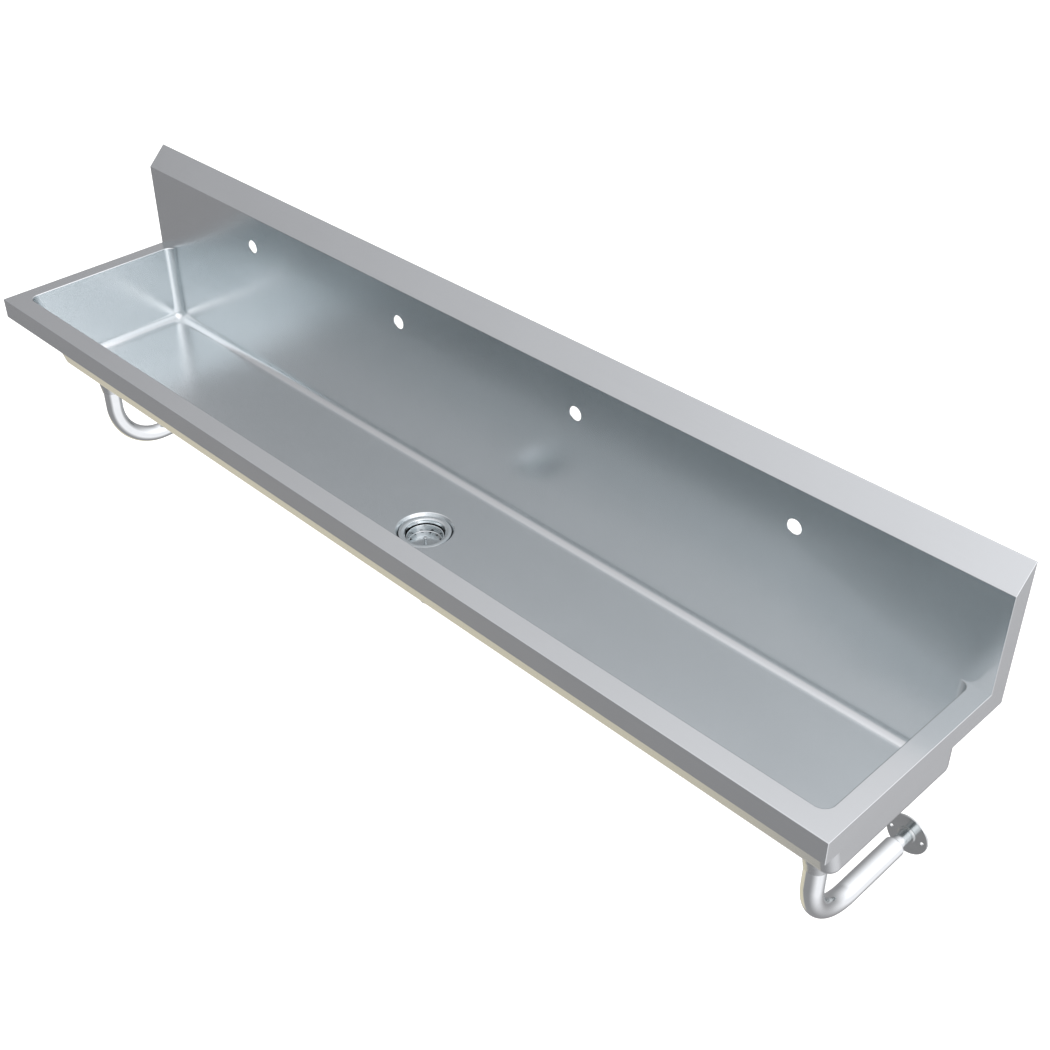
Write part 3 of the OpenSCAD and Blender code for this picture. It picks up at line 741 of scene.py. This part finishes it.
def newTree(name, inputs):
    tree = bpy.data.node_groups.new(name, "GeometryNodeTree")
    tree.is_modifier = True
    tree.interface.new_socket("Geometry", in_out="OUTPUT", socket_type="NodeSocketGeometry")
    tree.interface.new_socket("Geometry", in_out="INPUT", socket_type="NodeSocketGeometry")
    for label, kind in inputs.items():
        tree.interface.new_socket(label, in_out="INPUT", socket_type="NodeSocket" + kind)
    entry = tree.nodes.new("NodeGroupInput")
    graph = Graph(tree)
    return graph, {socket.name: Value(graph, socket) for socket in entry.outputs if socket.name}


def closeTree(graph, geometry):
    real = graph.add("GeometryNodeRealizeInstances", None, {"Geometry": geometry})
    entry = next(node for node in graph.tree.nodes if node.bl_idname == "NodeGroupInput")
    material = Value(graph, entry.outputs["Finish"])
    finished = graph.add("GeometryNodeSetMaterial", None, {"Geometry": real, "Material": material})
    leave = graph.tree.nodes.new("NodeGroupOutput")
    graph.tree.links.new(finished.socket, leave.inputs[0])
    return graph.tree


def useTree(piece, tree, values):
    modifier = piece.modifiers.new(tree.name, "NODES")
    modifier.node_group = tree
    for item in tree.interface.items_tree:
        if item.item_type == "SOCKET" and item.in_out == "INPUT" and item.name in values:
            modifier[item.identifier] = values[item.name]
    settle(piece)


def makeBentTubeTree():
    # the given line, bent round at its corner and made a tube
    inputs = {
        "Radius": "Float", "Bend radius": "Float", "Bend steps": "Int", "Sides": "Int",
        "Finish": "Material",
    }
    graph, given = newTree("bentTube", inputs)
    line = graph.add("GeometryNodeMeshToCurve", None, {"Mesh": given["Geometry"]})
    bent = graph.add("GeometryNodeFilletCurve", {"mode": "POLY"}, {
        "Curve": line, "Radius": given["Bend radius"], "Count": given["Bend steps"],
    })
    ring = graph.add("GeometryNodeCurvePrimitiveCircle", None, {
        "Resolution": given["Sides"], "Radius": given["Radius"],
    })
    tube = graph.add("GeometryNodeCurveToMesh", None, {"Curve": bent, "Profile Curve": ring})
    return closeTree(graph, tube)


def spotsRound(graph, given):
    # points on a circle about the centre, or along X where a pitch is given; also each point's turn
    line = graph.add("GeometryNodeMeshLine", None, {"Count": given["Count"]})
    index = graph.add("GeometryNodeInputIndex")
    turn = index * (2 * pi) / given["Count"]
    x, y = turn.math("COSINE") * given["Circle"], turn.math("SINE") * given["Circle"]
    if "Pitch" in given:
        x = x + (index - (given["Count"] - 1) * 0.5) * given["Pitch"]
    spot = graph.add("ShaderNodeCombineXYZ", None, {"X": x, "Y": y})
    there = graph.add("ShaderNodeVectorMath", {"operation": "ADD"}, {0: spot, 1: given["Centre"]})
    return graph.add("GeometryNodeSetPosition", None, {"Geometry": line, "Position": there}), turn


def copiesAt(graph, spots, block, rotation):
    sockets = {"Points": spots, "Instance": block, "Rotation": rotation}
    copies = graph.add("GeometryNodeInstanceOnPoints", None, sockets)
    return graph.add("GeometryNodeRealizeInstances", None, {"Geometry": copies})


def makeHolesTree():
    # the given piece, drilled
    inputs = {
        "Cutter radius": "Float", "Cutter depth": "Float", "Count": "Int", "Circle": "Float",
        "Pitch": "Float", "Centre": "Vector", "Tilt": "Vector", "Finish": "Material",
    }
    graph, given = newTree("drilledHoles", inputs)
    cutter = graph.add("GeometryNodeMeshCylinder", None, {
        "Vertices": 32, "Radius": given["Cutter radius"], "Depth": given["Cutter depth"],
    })
    spots, _ = spotsRound(graph, given)
    drills = copiesAt(graph, spots, cutter, given["Tilt"])
    cut = graph.add("GeometryNodeMeshBoolean", {"operation": "DIFFERENCE"}, {
        "Mesh 1": given["Geometry"], "Mesh 2": drills,
    })
    return closeTree(graph, cut)


def makeRoundTree():
    # the given piece, joined by blocks set in a circle about its axis
    inputs = {
        "Block size": "Vector", "Count": "Int", "Circle": "Float", "Centre": "Vector",
        "Finish": "Material",
    }
    graph, given = newTree("lugsRound", inputs)
    block = graph.add("GeometryNodeMeshCube", None, {
        "Size": given["Block size"], "Vertices X": 2, "Vertices Y": 2, "Vertices Z": 2,
    })
    spots, turn = spotsRound(graph, given)
    spin = graph.add("ShaderNodeCombineXYZ", None, {"Z": turn})
    lugs = copiesAt(graph, spots, block, spin)
    whole = graph.add("GeometryNodeMeshBoolean", {"operation": "UNION"}, {"Mesh 2": lugs})
    graph.tree.links.new(given["Geometry"].socket, whole.socket.node.inputs["Mesh 2"])
    return closeTree(graph, whole)


bentTubeTree = makeBentTubeTree()
holesTree = makeHolesTree()
roundTree = makeRoundTree()
print("geometry trees made")

hangerRail = {
    "sheet": 2 * mm, "gap": 0.3 * mm, "bend": 0.3 * mm, "stepDrop": 30 * mm,
    "holes": 6, "hole": 4 * mm, "holeInset": 100 * mm,
}


def makeHangerRail(sizes):
    low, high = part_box("wall_hanger_rail")
    sheet, bend = sizes["sheet"], sizes["bend"]
    stepZ = splashHigh.z - sizes["stepDrop"]
    hookY = -sheet - sizes["gap"]
    piece = foldedSheet("hangerRail", [
        (0, low.z, 0), (0, stepZ, bend), (hookY, stepZ, bend), (hookY, high.z, 0),
    ], (low.x, high.x), "wall_hanger_rail", sheet, offset=-1)
    pitch = (high.x - low.x - 2 * sizes["holeInset"]) / (sizes["holes"] - 1)
    useTree(piece, holesTree, {
        "Cutter radius": sizes["hole"], "Cutter depth": 6 * sheet, "Count": sizes["holes"],
        "Pitch": pitch, "Circle": 0.0, "Centre": (0, -sheet / 2, (low.z + stepZ - sheet) / 2),
        "Tilt": (pi / 2, 0, 0), "Finish": finishes["galvanised"],
    })
    shade(piece)


makeHangerRail(hangerRail)
print("hanger rail made")


# Brackets

bracket = {
    "tube": 42.16 * mm / 2, "wall": 1.6 * mm, "bendRadius": 125 * mm, "bendSteps": 28, "sides": 64,
    "legFromWall": 325 * mm, "drop": 459.5 * mm, "tubeEnd": 48 * mm,
    "socketFlange": 35 * mm, "flangeThick": 3 * mm, "socketRoof": 7 * mm,
    "socketRoot": 28 * mm, "socketShoulder": 26.4 * mm, "shoulderRise": 22 * mm,
    "socketMouth": 22.9 * mm, "socketLip": 1.5 * mm, "fit": 0.05 * mm,
    "insertLip": 2.5 * mm, "insertLength": 30 * mm, "insertGap": 0.02 * mm,
    "stem": 13.5 * mm, "stemEngaged": 26 * mm, "stemChamfer": 1.5 * mm,
    "collar": 18 * mm, "collarLength": 3.5 * mm, "plate": 44.5 * mm, "plateThick": 4 * mm,
    "plateHole": 3.75 * mm, "plateHolePitch": 66.7 * mm,
    "screw": 3 * mm, "screwRise": 26 * mm, "screwLength": 5 * mm, "screwGap": 0.3 * mm,
    "screwKey": 1.5 * mm, "screwKeyDepth": 2.5 * mm,
}


def tubePiece(name, points, sizes):
    mesh = bpy.data.meshes.new(name)
    mesh.from_pydata(points, [(0, 1), (1, 2)], [])
    piece = newObject(name, mesh)
    useTree(piece, bentTubeTree, {
        "Radius": sizes["tube"], "Bend radius": sizes["bendRadius"], "Bend steps": sizes["bendSteps"],
        "Sides": sizes["sides"], "Finish": finishes["polishedTube"],
    })
    work = bmesh.new()
    work.from_mesh(piece.data)
    first = work.faces[:][0]
    if (first.calc_center_median() - Vector(points[0])).dot(first.normal) <= 0:
        bmesh.ops.reverse_faces(work, faces=work.faces)      # faces point outwards before the wall is made
    work.to_mesh(piece.data)
    work.free()
    thicken(piece, sizes["wall"])
    softEdges(piece, 0.3 * mm, 60)
    shade(piece)
    return piece


def makeBracket(side, sizes):
    low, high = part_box("leg_socket_" + side)
    x, legY, runZ = (low.x + high.x) / 2, -sizes["legFromWall"], -sizes["drop"]
    bearerZ, socketLow = high.z, low.z
    flangeLow = bearerZ - sizes["flangeThick"]
    roofZ = flangeLow - sizes["socketRoof"]
    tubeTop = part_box("bracket_tube_" + side)[1].z
    tube = tubePiece("bracketTube." + side, [
        (x, legY, tubeTop), (x, legY, runZ), (x, -sizes["tubeEnd"], runZ),
    ], sizes)
    place(tube, ["bracket_tube_" + side], "polishedTube")

    bore = sizes["tube"] + sizes["fit"]
    flangeReach, mouth = sizes["socketFlange"], sizes["socketMouth"]
    socket = lathe("legSocket." + side, closedRounded([
        (0, bearerZ, 0), (flangeReach, bearerZ, 0.5 * mm), (flangeReach, flangeLow, 0.8 * mm),
        (sizes["socketRoot"], flangeLow, 2 * mm),
        (sizes["socketShoulder"], socketLow + sizes["shoulderRise"], 8 * mm),
        (mouth, socketLow + sizes["socketLip"], 0.5 * mm), (mouth, socketLow, 0.8 * mm),
        (bore, socketLow, 0.6 * mm), (bore, roofZ, 0.3 * mm), (0, roofZ, 0),
    ]), (x, legY, 0))
    screwZ = socketLow + sizes["screwRise"]
    useTree(socket, holesTree, {
        "Cutter radius": sizes["screw"], "Cutter depth": 30 * mm, "Count": 1, "Circle": 0.0, "Pitch": 0.0,
        "Centre": (x, legY + sizes["socketRoot"], screwZ), "Tilt": (pi / 2, 0, 0),
        "Finish": finishes["socketCasting"],
    })
    shade(socket)
    place(socket, ["leg_socket_" + side], "socketCasting")

    endY = -sizes["tubeEnd"]
    lipY = endY + sizes["insertLip"]
    stemBore = sizes["stem"] + sizes["fit"]
    insertOuter = sizes["tube"] - sizes["wall"] - sizes["insertGap"]
    insertEnd = endY - sizes["insertLength"]
    insert = lathe("tubeInsert." + side, closedRounded([
        (stemBore, insertEnd, 0.5 * mm), (insertOuter, insertEnd, 1 * mm),
        (insertOuter, endY, 0), (sizes["tube"], endY, 0.2 * mm), (sizes["tube"], lipY, 1.2 * mm),
        (stemBore, lipY, 0.8 * mm),
    ]), (x, 0, runZ), "Y")
    shade(insert)
    place(insert, ["tube_insert_" + side], "polishedFitting")

    stemEnd = lipY - sizes["stemEngaged"]
    plateY = -sizes["plateThick"]
    stem = lathe("footStem." + side, closedRounded([
        (0, stemEnd, 0), (sizes["stem"], stemEnd, sizes["stemChamfer"]), (sizes["stem"], plateY, 0),
        (0, plateY, 0),
    ]), (x, 0, runZ), "Y")
    shade(stem)
    place(stem, ["foot_stem_" + side], "polishedFitting")

    collarY = plateY - sizes["collarLength"]
    flange = lathe("wallFlange." + side, closedRounded([
        (stemBore, collarY, 0.6 * mm), (stemBore, 0, 0.3 * mm), (sizes["plate"], 0, 0.3 * mm),
        (sizes["plate"], plateY, 0.9 * mm), (sizes["collar"], plateY, 1.2 * mm),
        (sizes["collar"], collarY, 1.2 * mm),
    ]), (x, 0, runZ), "Y", 128)
    useTree(flange, holesTree, {
        "Cutter radius": sizes["plateHole"], "Cutter depth": 4 * sizes["plateThick"], "Count": 2,
        "Circle": 0.0, "Pitch": sizes["plateHolePitch"], "Centre": (x, plateY / 2, runZ),
        "Tilt": (pi / 2, 0, 0), "Finish": finishes["turnedFlange"],
    })
    shade(flange)
    place(flange, ["wall_flange_" + side], "turnedFlange")


for side in ("left", "right"):
    makeBracket(side, bracket)
    print("bracket made:", side)


def makeSocketScrews(sizes):
    pieces = []
    for side in ("left", "right"):
        low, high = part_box("leg_socket_" + side)
        x = (low.x + high.x) / 2
        z = low.z + sizes["screwRise"]
        start = -sizes["legFromWall"] + sizes["tube"] + sizes["screwGap"]
        end = start + sizes["screwLength"]
        radius = sizes["screw"] - sizes["insertGap"]
        screw = lathe("socketScrews." + side, closedRounded([
            (0, start, 0), (radius, start, 0.4 * mm), (radius, end, 0.4 * mm), (0, end, 0),
        ]), (x, 0, z), "Y", 32)
        key = Skin()
        reach, corners = sizes["screwKey"], [pi / 3 * i for i in range(7)]
        near, deep = [
            [(x + reach * cos(t), y, z + reach * sin(t)) for t in corners]
            for y in (end + 1 * mm, end - sizes["screwKeyDepth"])
        ]
        key.strip(near, deep)
        key.face(near[:-1])
        key.face(deep[:-1])
        cutter = key.build("keyCutter." + side)
        cut = screw.modifiers.new("key", "BOOLEAN")
        cut.object, cut.operation = cutter, "DIFFERENCE"
        settle(screw)
        bpy.data.objects.remove(cutter)
        pieces.append(screw)
    joined = joinPieces(pieces, "socketScrews")
    shade(joined)
    place(joined, ["socket_screws"], "blackenedScrew")


def joinPieces(pieces, name):
    work = bmesh.new()
    for piece in pieces:
        work.from_mesh(piece.data)
    mesh = bpy.data.meshes.new(name)
    work.to_mesh(mesh)
    work.free()
    for piece in pieces:
        bpy.data.objects.remove(piece)
    return newObject(name, mesh)


makeSocketScrews(bracket)
print("socket screws made")


# Waste: strainer, basket, stopper and tailpiece, all about one upright axis

waste = {
    "seat": 17 * mm, "throat": 39.6 * mm, "mouth": 43 * mm, "bevel": 46 * mm, "crest": 51 * mm,
    "flange": 57.15 * mm, "sealWidth": 10.6 * mm, "body": 44.45 * mm, "bodyLow": 42.6 * mm,
    "flangeLow": -210.2 * mm, "crown": 2.3 * mm, "edge": 1 * mm, "rise": 1.9 * mm, "ledge": -220.2 * mm,
    "mouthHeight": 4.4 * mm, "cup": -262 * mm, "threadLow": -246.2 * mm, "cupFloor": 3 * mm,
    "outlet": 23.8 * mm, "outletBore": 19.2 * mm,
    "basketRim": 40.6 * mm, "basketWall": 39.2 * mm, "basketSheet": 0.8 * mm, "basketFloor": -235.5 * mm,
    "basketCorner": 3.2 * mm, "rimThick": 1.2 * mm, "guide": 5 * mm, "guideLength": 6.5 * mm,
    "drainHoles": 12, "drainCircle": 33.3 * mm, "drainHole": 2.6 * mm,
    "stemRadius": 3 * mm, "stemFit": 0.05 * mm,
    "knob": 4.5 * mm, "knobTop": -223.5 * mm, "knobThick": 3.5 * mm,
    "lugs": 8, "lugWidth": 12 * mm, "lugReach": 57 * mm, "nut": 52 * mm,
    "tail": 19.05 * mm, "tailWall": 1.2 * mm, "collar": 19.4 * mm, "collarLow": -297 * mm,
    "tailFlange": 23 * mm, "tailFlangeThick": 1.2 * mm,
    "coupling": 29 * mm, "couplingLip": 2.8 * mm, "grips": 12, "grip": 2.5 * mm,
    "gap": 0.02 * mm,
}
wasteCentre = (0, splashLow.y - sheetMetal["wasteFromSplash"], 0)


def turned(name, node, outline, finish, slot, steps=96, finishOff=None):
    piece = lathe(name, closedRounded(outline), wasteCentre, "Z", steps)
    if finishOff:
        finishOff(piece)
    shade(piece)
    return place(piece, [node], finish)


def makeStrainer(w):
    top = w["flangeLow"] + w["crown"]
    turned("strainerBody", "strainer_body", [
        (w["seat"], w["cup"], 0.8 * mm), (w["throat"], w["cup"], 3 * mm), (w["throat"], w["ledge"], 0.3 * mm),
        (w["mouth"], w["ledge"], 0.2 * mm), (w["mouth"], w["ledge"] + w["mouthHeight"], 0.8 * mm),
        (w["bevel"], top - w["edge"], 1.5 * mm), (w["crest"], top, 6 * mm),
        (w["flange"], w["flangeLow"] + w["rise"], 0.5 * mm), (w["flange"], w["flangeLow"], 0.2 * mm),
        (w["body"], w["flangeLow"], 0.3 * mm), (w["body"], w["threadLow"], 0.5 * mm),
        (w["bodyLow"], w["threadLow"], 0.2 * mm), (w["bodyLow"], w["cup"] - w["cupFloor"], 2 * mm),
        (w["seat"], w["cup"] - w["cupFloor"], 0.5 * mm),
    ], "spunWaste", "strainer", 128)
    low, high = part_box("strainer_outlet")
    turned("strainerOutlet", "strainer_outlet", [
        (w["outletBore"], low.z, 0.3 * mm), (w["outlet"], low.z, 0.6 * mm), (w["outlet"], high.z, 0.2 * mm),
        (w["outletBore"], high.z, 0.2 * mm),
    ], "spunWaste", "strainer")
    low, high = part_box("flange_seal")
    inner = w["flange"] - w["edge"] - w["sealWidth"]
    turned("flangeSeal", "flange_seal", [
        (high.x, low.z, 0.4 * mm), (high.x, high.z, 0.4 * mm), (inner, high.z, 0.3 * mm),
        (inner, low.z, 0.3 * mm),
    ], "blackRubber", "rubber")
    for name, node, finish, slot in (
        ("rubberGasket", "rubber_gasket", "blackRubber", "rubber"),
        ("frictionWasher", "friction_washer", "greyFibre", "fibre"),
    ):
        low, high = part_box(node)
        bore = w["body"] + w["gap"]
        ease = (high.z - low.z) * 0.2
        turned(name, node, [
            (bore, low.z, ease), (high.x, low.z, ease), (high.x, high.z, ease), (bore, high.z, ease),
        ], finish, slot)


def makeNuts(w):
    low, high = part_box("lock_nut")
    height = high.z - low.z
    middle = (low.z + high.z) / 2

    def lugs(piece):
        lugLength = w["lugReach"] - w["nut"] + 4 * mm
        useTree(piece, roundTree, {
            "Block size": (lugLength, w["lugWidth"], height - 0.2 * mm), "Count": w["lugs"],
            "Circle": w["lugReach"] - lugLength / 2,
            "Centre": (*wasteCentre[:2], middle), "Finish": finishes["castBrass"],
        })
        softEdges(piece, 0.7 * mm)

    bore = w["body"] + w["gap"]
    turned("lockNut", "lock_nut", [
        (bore, low.z, 0.6 * mm), (w["nut"], low.z, 0), (w["nut"], high.z, 0), (bore, high.z, 0.6 * mm),
    ], "castBrass", "brass", 96, lugs)

    low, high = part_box("coupling_nut")
    shoulder = low.z + w["couplingLip"]

    def grips(piece):
        useTree(piece, holesTree, {
            "Cutter radius": w["grip"], "Cutter depth": 3 * (high.z - low.z), "Count": w["grips"],
            "Circle": w["coupling"] + w["grip"] / 2, "Pitch": 0.0,
            "Centre": (*wasteCentre[:2], middle), "Tilt": (0, 0, 0),
            "Finish": finishes["platedNut"],
        })
        softEdges(piece, 0.4 * mm)

    turned("couplingNut", "coupling_nut", [
        (w["outlet"] + w["gap"], high.z, 0.5 * mm), (w["outlet"] + w["gap"], shoulder, 0.2 * mm),
        (w["collar"] + w["gap"], shoulder, 0.2 * mm), (w["collar"] + w["gap"], low.z, 0.3 * mm),
        (w["coupling"], low.z, 1.5 * mm), (w["coupling"], high.z, 1 * mm),
    ], "platedNut", "plated", 96, grips)


def makeBasket(w):
    wall, sheet, corner = w["basketWall"], w["basketSheet"], w["basketCorner"]
    floorZ, underZ, ledge = w["basketFloor"], w["basketFloor"] - w["basketSheet"], w["ledge"]
    bore = w["stemRadius"] + w["stemFit"]

    def drain(piece):
        useTree(piece, holesTree, {
            "Cutter radius": w["drainHole"], "Cutter depth": 8 * sheet, "Count": w["drainHoles"],
            "Circle": w["drainCircle"], "Pitch": 0.0, "Centre": (*wasteCentre[:2], floorZ),
            "Tilt": (0, 0, 0), "Finish": finishes["spunWaste"],
        })

    turned("basket", "basket", [
        (bore, floorZ, 0.2 * mm), (bore, underZ - w["guideLength"], 0.2 * mm),
        (w["guide"], underZ - w["guideLength"], 0.6 * mm), (w["guide"], underZ, 0.6 * mm),
        (wall, underZ, corner), (wall, ledge, 0.15 * mm), (w["basketRim"], ledge, 0.4 * mm),
        (w["basketRim"], ledge + w["rimThick"], 0.5 * mm), (wall - sheet, ledge + w["rimThick"], 0.5 * mm),
        (wall - sheet, floorZ, corner - sheet),
    ], "spunWaste", "strainer", 128, drain)


def makeStopper(w):
    low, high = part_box("stopper_post")
    radius, knobLow = w["stemRadius"], w["knobTop"] - w["knobThick"]
    turned("stopperPost", "stopper_post", [
        (0, low.z, 0), (radius, low.z, 0.5 * mm), (radius, knobLow, 0.5 * mm), (w["knob"], knobLow, 0.8 * mm),
        (w["knob"], high.z, 1.6 * mm), (0, high.z, 0),
    ], "spunWaste", "strainer", 64)
    bore = radius + w["gap"]
    for name, node, finish, slot in (
        ("stopperPlate", "stopper_plate", "spunWaste", "strainer"),
        ("stopperSeal", "stopper_seal", "blackRubber", "rubber"),
    ):
        low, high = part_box(node)
        ease = (high.z - low.z) * 0.25
        turned(name, node, [
            (bore, low.z, 0.1 * mm), (high.x, low.z, ease), (high.x, high.z, ease), (bore, high.z, 0.1 * mm),
        ], finish, slot, 64)


def makeTail(w):
    low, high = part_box("tailpiece")
    bore = w["tail"] - w["tailWall"]
    flangeLow = high.z - w["tailFlangeThick"]
    turned("tailpiece", "tailpiece", [
        (bore, low.z, 0.3 * mm), (w["tail"], low.z, 0.4 * mm), (w["tail"], w["collarLow"], 0),
        (w["collar"], w["collarLow"], 0.2 * mm), (w["collar"], flangeLow, 0.1 * mm),
        (w["tailFlange"], flangeLow, 0.3 * mm), (w["tailFlange"], high.z, 0.3 * mm), (bore, high.z, 0.5 * mm),
    ], "spunWaste", "plated")
    low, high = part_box("tailpiece_washer")
    turned("tailpieceWasher", "tailpiece_washer", [
        (w["outletBore"], low.z, 0.3 * mm), (high.x, low.z, 0.4 * mm), (high.x, high.z, 0.4 * mm),
        (w["outletBore"], high.z, 0.3 * mm),
    ], "blackRubber", "rubber")


def makeStopperNut(w):
    low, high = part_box("stopper_nut")
    radius = (high.x - low.x) / 2
    skin = Skin()
    bore = w["stemRadius"] + w["gap"]
    steps = 48
    turns = [2 * pi * i / steps for i in range(steps + 1)]

    def hexReach(t):
        return radius * cos(pi / 6) / cos((t % (pi / 3)) - pi / 6)

    def row(reach, z):
        return [(wasteCentre[0] + reach(t) * cos(t), wasteCentre[1] + reach(t) * sin(t), z) for t in turns]

    chamfer = 0.35 * mm
    rows = [
        row(lambda t: bore, low.z), row(lambda t: hexReach(t) - chamfer, low.z),
        row(hexReach, low.z + chamfer), row(hexReach, high.z - chamfer),
        row(lambda t: hexReach(t) - chamfer, high.z), row(lambda t: bore, high.z),
    ]
    skin.strips(rows, closed=True)
    piece = skin.build("stopperNut")
    shade(piece)
    place(piece, ["stopper_nut"], "platedNut")


makeStrainer(waste)
makeNuts(waste)
makeBasket(waste)
makeStopper(waste)
makeStopperNut(waste)
makeTail(waste)
print("waste made")


# Stage: pale floor, white world, soft lamps, and a studio shell that only reflections see

studio = {
    "floorZ": -0.9, "floorReach": 40, "floorTone": (0.82, 0.82, 0.82, 1), "floorGlow": 0.62,
    "diffuseLevel": 0.75,
    "lampAim": (0, -0.25, -0.1),
    "lamps": (
        {"name": "keyLamp", "place": (1.6, -3.2, 3.6), "width": 3.5, "depth": 2.5, "power": 75},
        {"name": "fillLamp", "place": (-3.6, -2.2, 2.6), "width": 3, "depth": 3, "power": 35},
        {"name": "topLamp", "place": (0, 0.3, 4.2), "width": 4, "depth": 2, "power": 45},
    ),
    # the shell is brighter to the right and overhead; "toRight" goes with the square of the rightward share,
    # and below it grows no more from "fullAt" on; every span is (from, to) along its way
    "shellReach": 60,
    "below": {"level": 0.34, "toRight": 2.1, "fullAt": 0.62},
    "above": {"level": 1.3, "toRight": 1.37, "toLeft": 0.95, "span": (-0.25, 0.75)},
    "behind": {"level": -0.27, "backSpan": (0.6, 0.72), "rightSpan": (-0.1, 0.3)},
    "overhead": {"level": 0.2, "span": (0.75, 1)},
    "backdrop": {"level": 0.45, "way": (-0.615, 0.022, -0.788), "span": (0.9, 0.965), "tint": (1, 0.9, 0.7, 1)},
    "gain": 1.03,
    "tint": (1, 0.965, 0.99, 1),
}


def sharpRays(graph):
    # whether a ray comes from the camera, and whether it comes from there or from a mirror or glass
    camera = graph.add("ShaderNodeLightPath")
    path = camera.socket.node
    seen = camera + Value(graph, path.outputs["Is Glossy Ray"])
    return camera, (seen + Value(graph, path.outputs["Is Transmission Ray"])).atMost(1)


def makeWorld(setup):
    world = bpy.data.worlds.new("whiteStudio")
    bpy.context.scene.world = world
    world.use_nodes = True
    world.node_tree.nodes.clear()
    graph = Graph(world.node_tree)
    _, seen = sharpRays(graph)
    level = setup["diffuseLevel"]
    strength = seen * (1 - level) + level
    back = graph.add("ShaderNodeBackground", None, {"Color": (1, 1, 1, 1), "Strength": strength})
    graph.add("ShaderNodeOutputWorld", None, {"Surface": back})


def makeFloor(setup):
    reach, z = setup["floorReach"], setup["floorZ"]
    skin = Skin()
    skin.face([(-reach, -reach, z), (reach, -reach, z), (reach, reach, z), (-reach, reach, z)])
    floor = skin.build("paleFloor", upIsOut=True)
    material, graph = newMaterial("paleFloor")
    camera, seen = sharpRays(graph)
    fromBelow = graph.add("ShaderNodeNewGeometry", None, None, "Backfacing")
    surface(graph, {
        "Base Color": setup["floorTone"], "Roughness": 0.9, "Alpha": 1 - fromBelow * camera,
        "Emission Color": (1, 1, 1, 1), "Emission Strength": seen * setup["floorGlow"],
    })
    floor.data.materials.append(material)
    floor.visible_glossy = False


def makeShell(setup):
    mesh = bpy.data.meshes.new("studioShell")
    work = bmesh.new()
    bmesh.ops.create_icosphere(work, subdivisions=5, radius=setup["shellReach"])
    bmesh.ops.reverse_faces(work, faces=work.faces)
    work.to_mesh(mesh)
    work.free()
    shell = newObject("studioShell", mesh)
    material, graph = newMaterial("studioShell")
    material.cycles.emission_sampling = "NONE"
    toCentre = graph.add("ShaderNodeTexCoord", None, None, "Object")
    way = graph.add("ShaderNodeVectorMath", {"operation": "NORMALIZE"}, {0: toCentre})
    right, back, up = graph.parts(way)
    below, above, behind = setup["below"], setup["above"], setup["behind"]
    toRight, toLeft = right.atLeast(0) ** 2, right.atMost(0)
    low = below["level"] + toRight.atMost(below["fullAt"] ** 2) * below["toRight"]
    high = above["level"] + toRight * above["toRight"] + toLeft * above["toLeft"]
    dim = back.smooth(*behind["backSpan"]) * (1 - right.smooth(*behind["rightSpan"]))
    high = high + dim * behind["level"]
    level = low + (high - low) * up.smooth(*above["span"])
    level = level + up.smooth(*setup["overhead"]["span"]) * setup["overhead"]["level"]
    backdrop = setup["backdrop"]
    across, deep, tall = backdrop["way"]
    onBackdrop = (right * across + back * deep + up * tall).smooth(*backdrop["span"])
    level = level + onBackdrop * backdrop["level"]
    tint = mixColours(graph, {"Factor": onBackdrop, "A": setup["tint"], "B": backdrop["tint"]})
    glow = graph.add("ShaderNodeEmission", None, {"Color": tint, "Strength": level * setup["gain"]})
    graph.add("ShaderNodeOutputMaterial", None, {"Surface": glow})
    mesh.materials.append(material)
    shell.visible_camera = False
    shell.visible_diffuse = False
    shell.visible_shadow = False


def makeLamps(setup):
    for lamp in setup["lamps"]:
        data = bpy.data.lights.new(lamp["name"], "AREA")
        data.shape, data.size, data.size_y = "RECTANGLE", lamp["width"], lamp["depth"]
        data.energy = lamp["power"]
        holder = newObject(lamp["name"], data)
        holder.location = lamp["place"]
        toSink = Vector(setup["lampAim"]) - holder.location
        holder.rotation_euler = toSink.to_track_quat("-Z", "Y").to_euler()
        holder.visible_glossy = False


makeWorld(studio)
makeFloor(studio)
makeShell(studio)
makeLamps(studio)
bpy.context.scene.view_settings.view_transform = "Standard"
print("stage made")
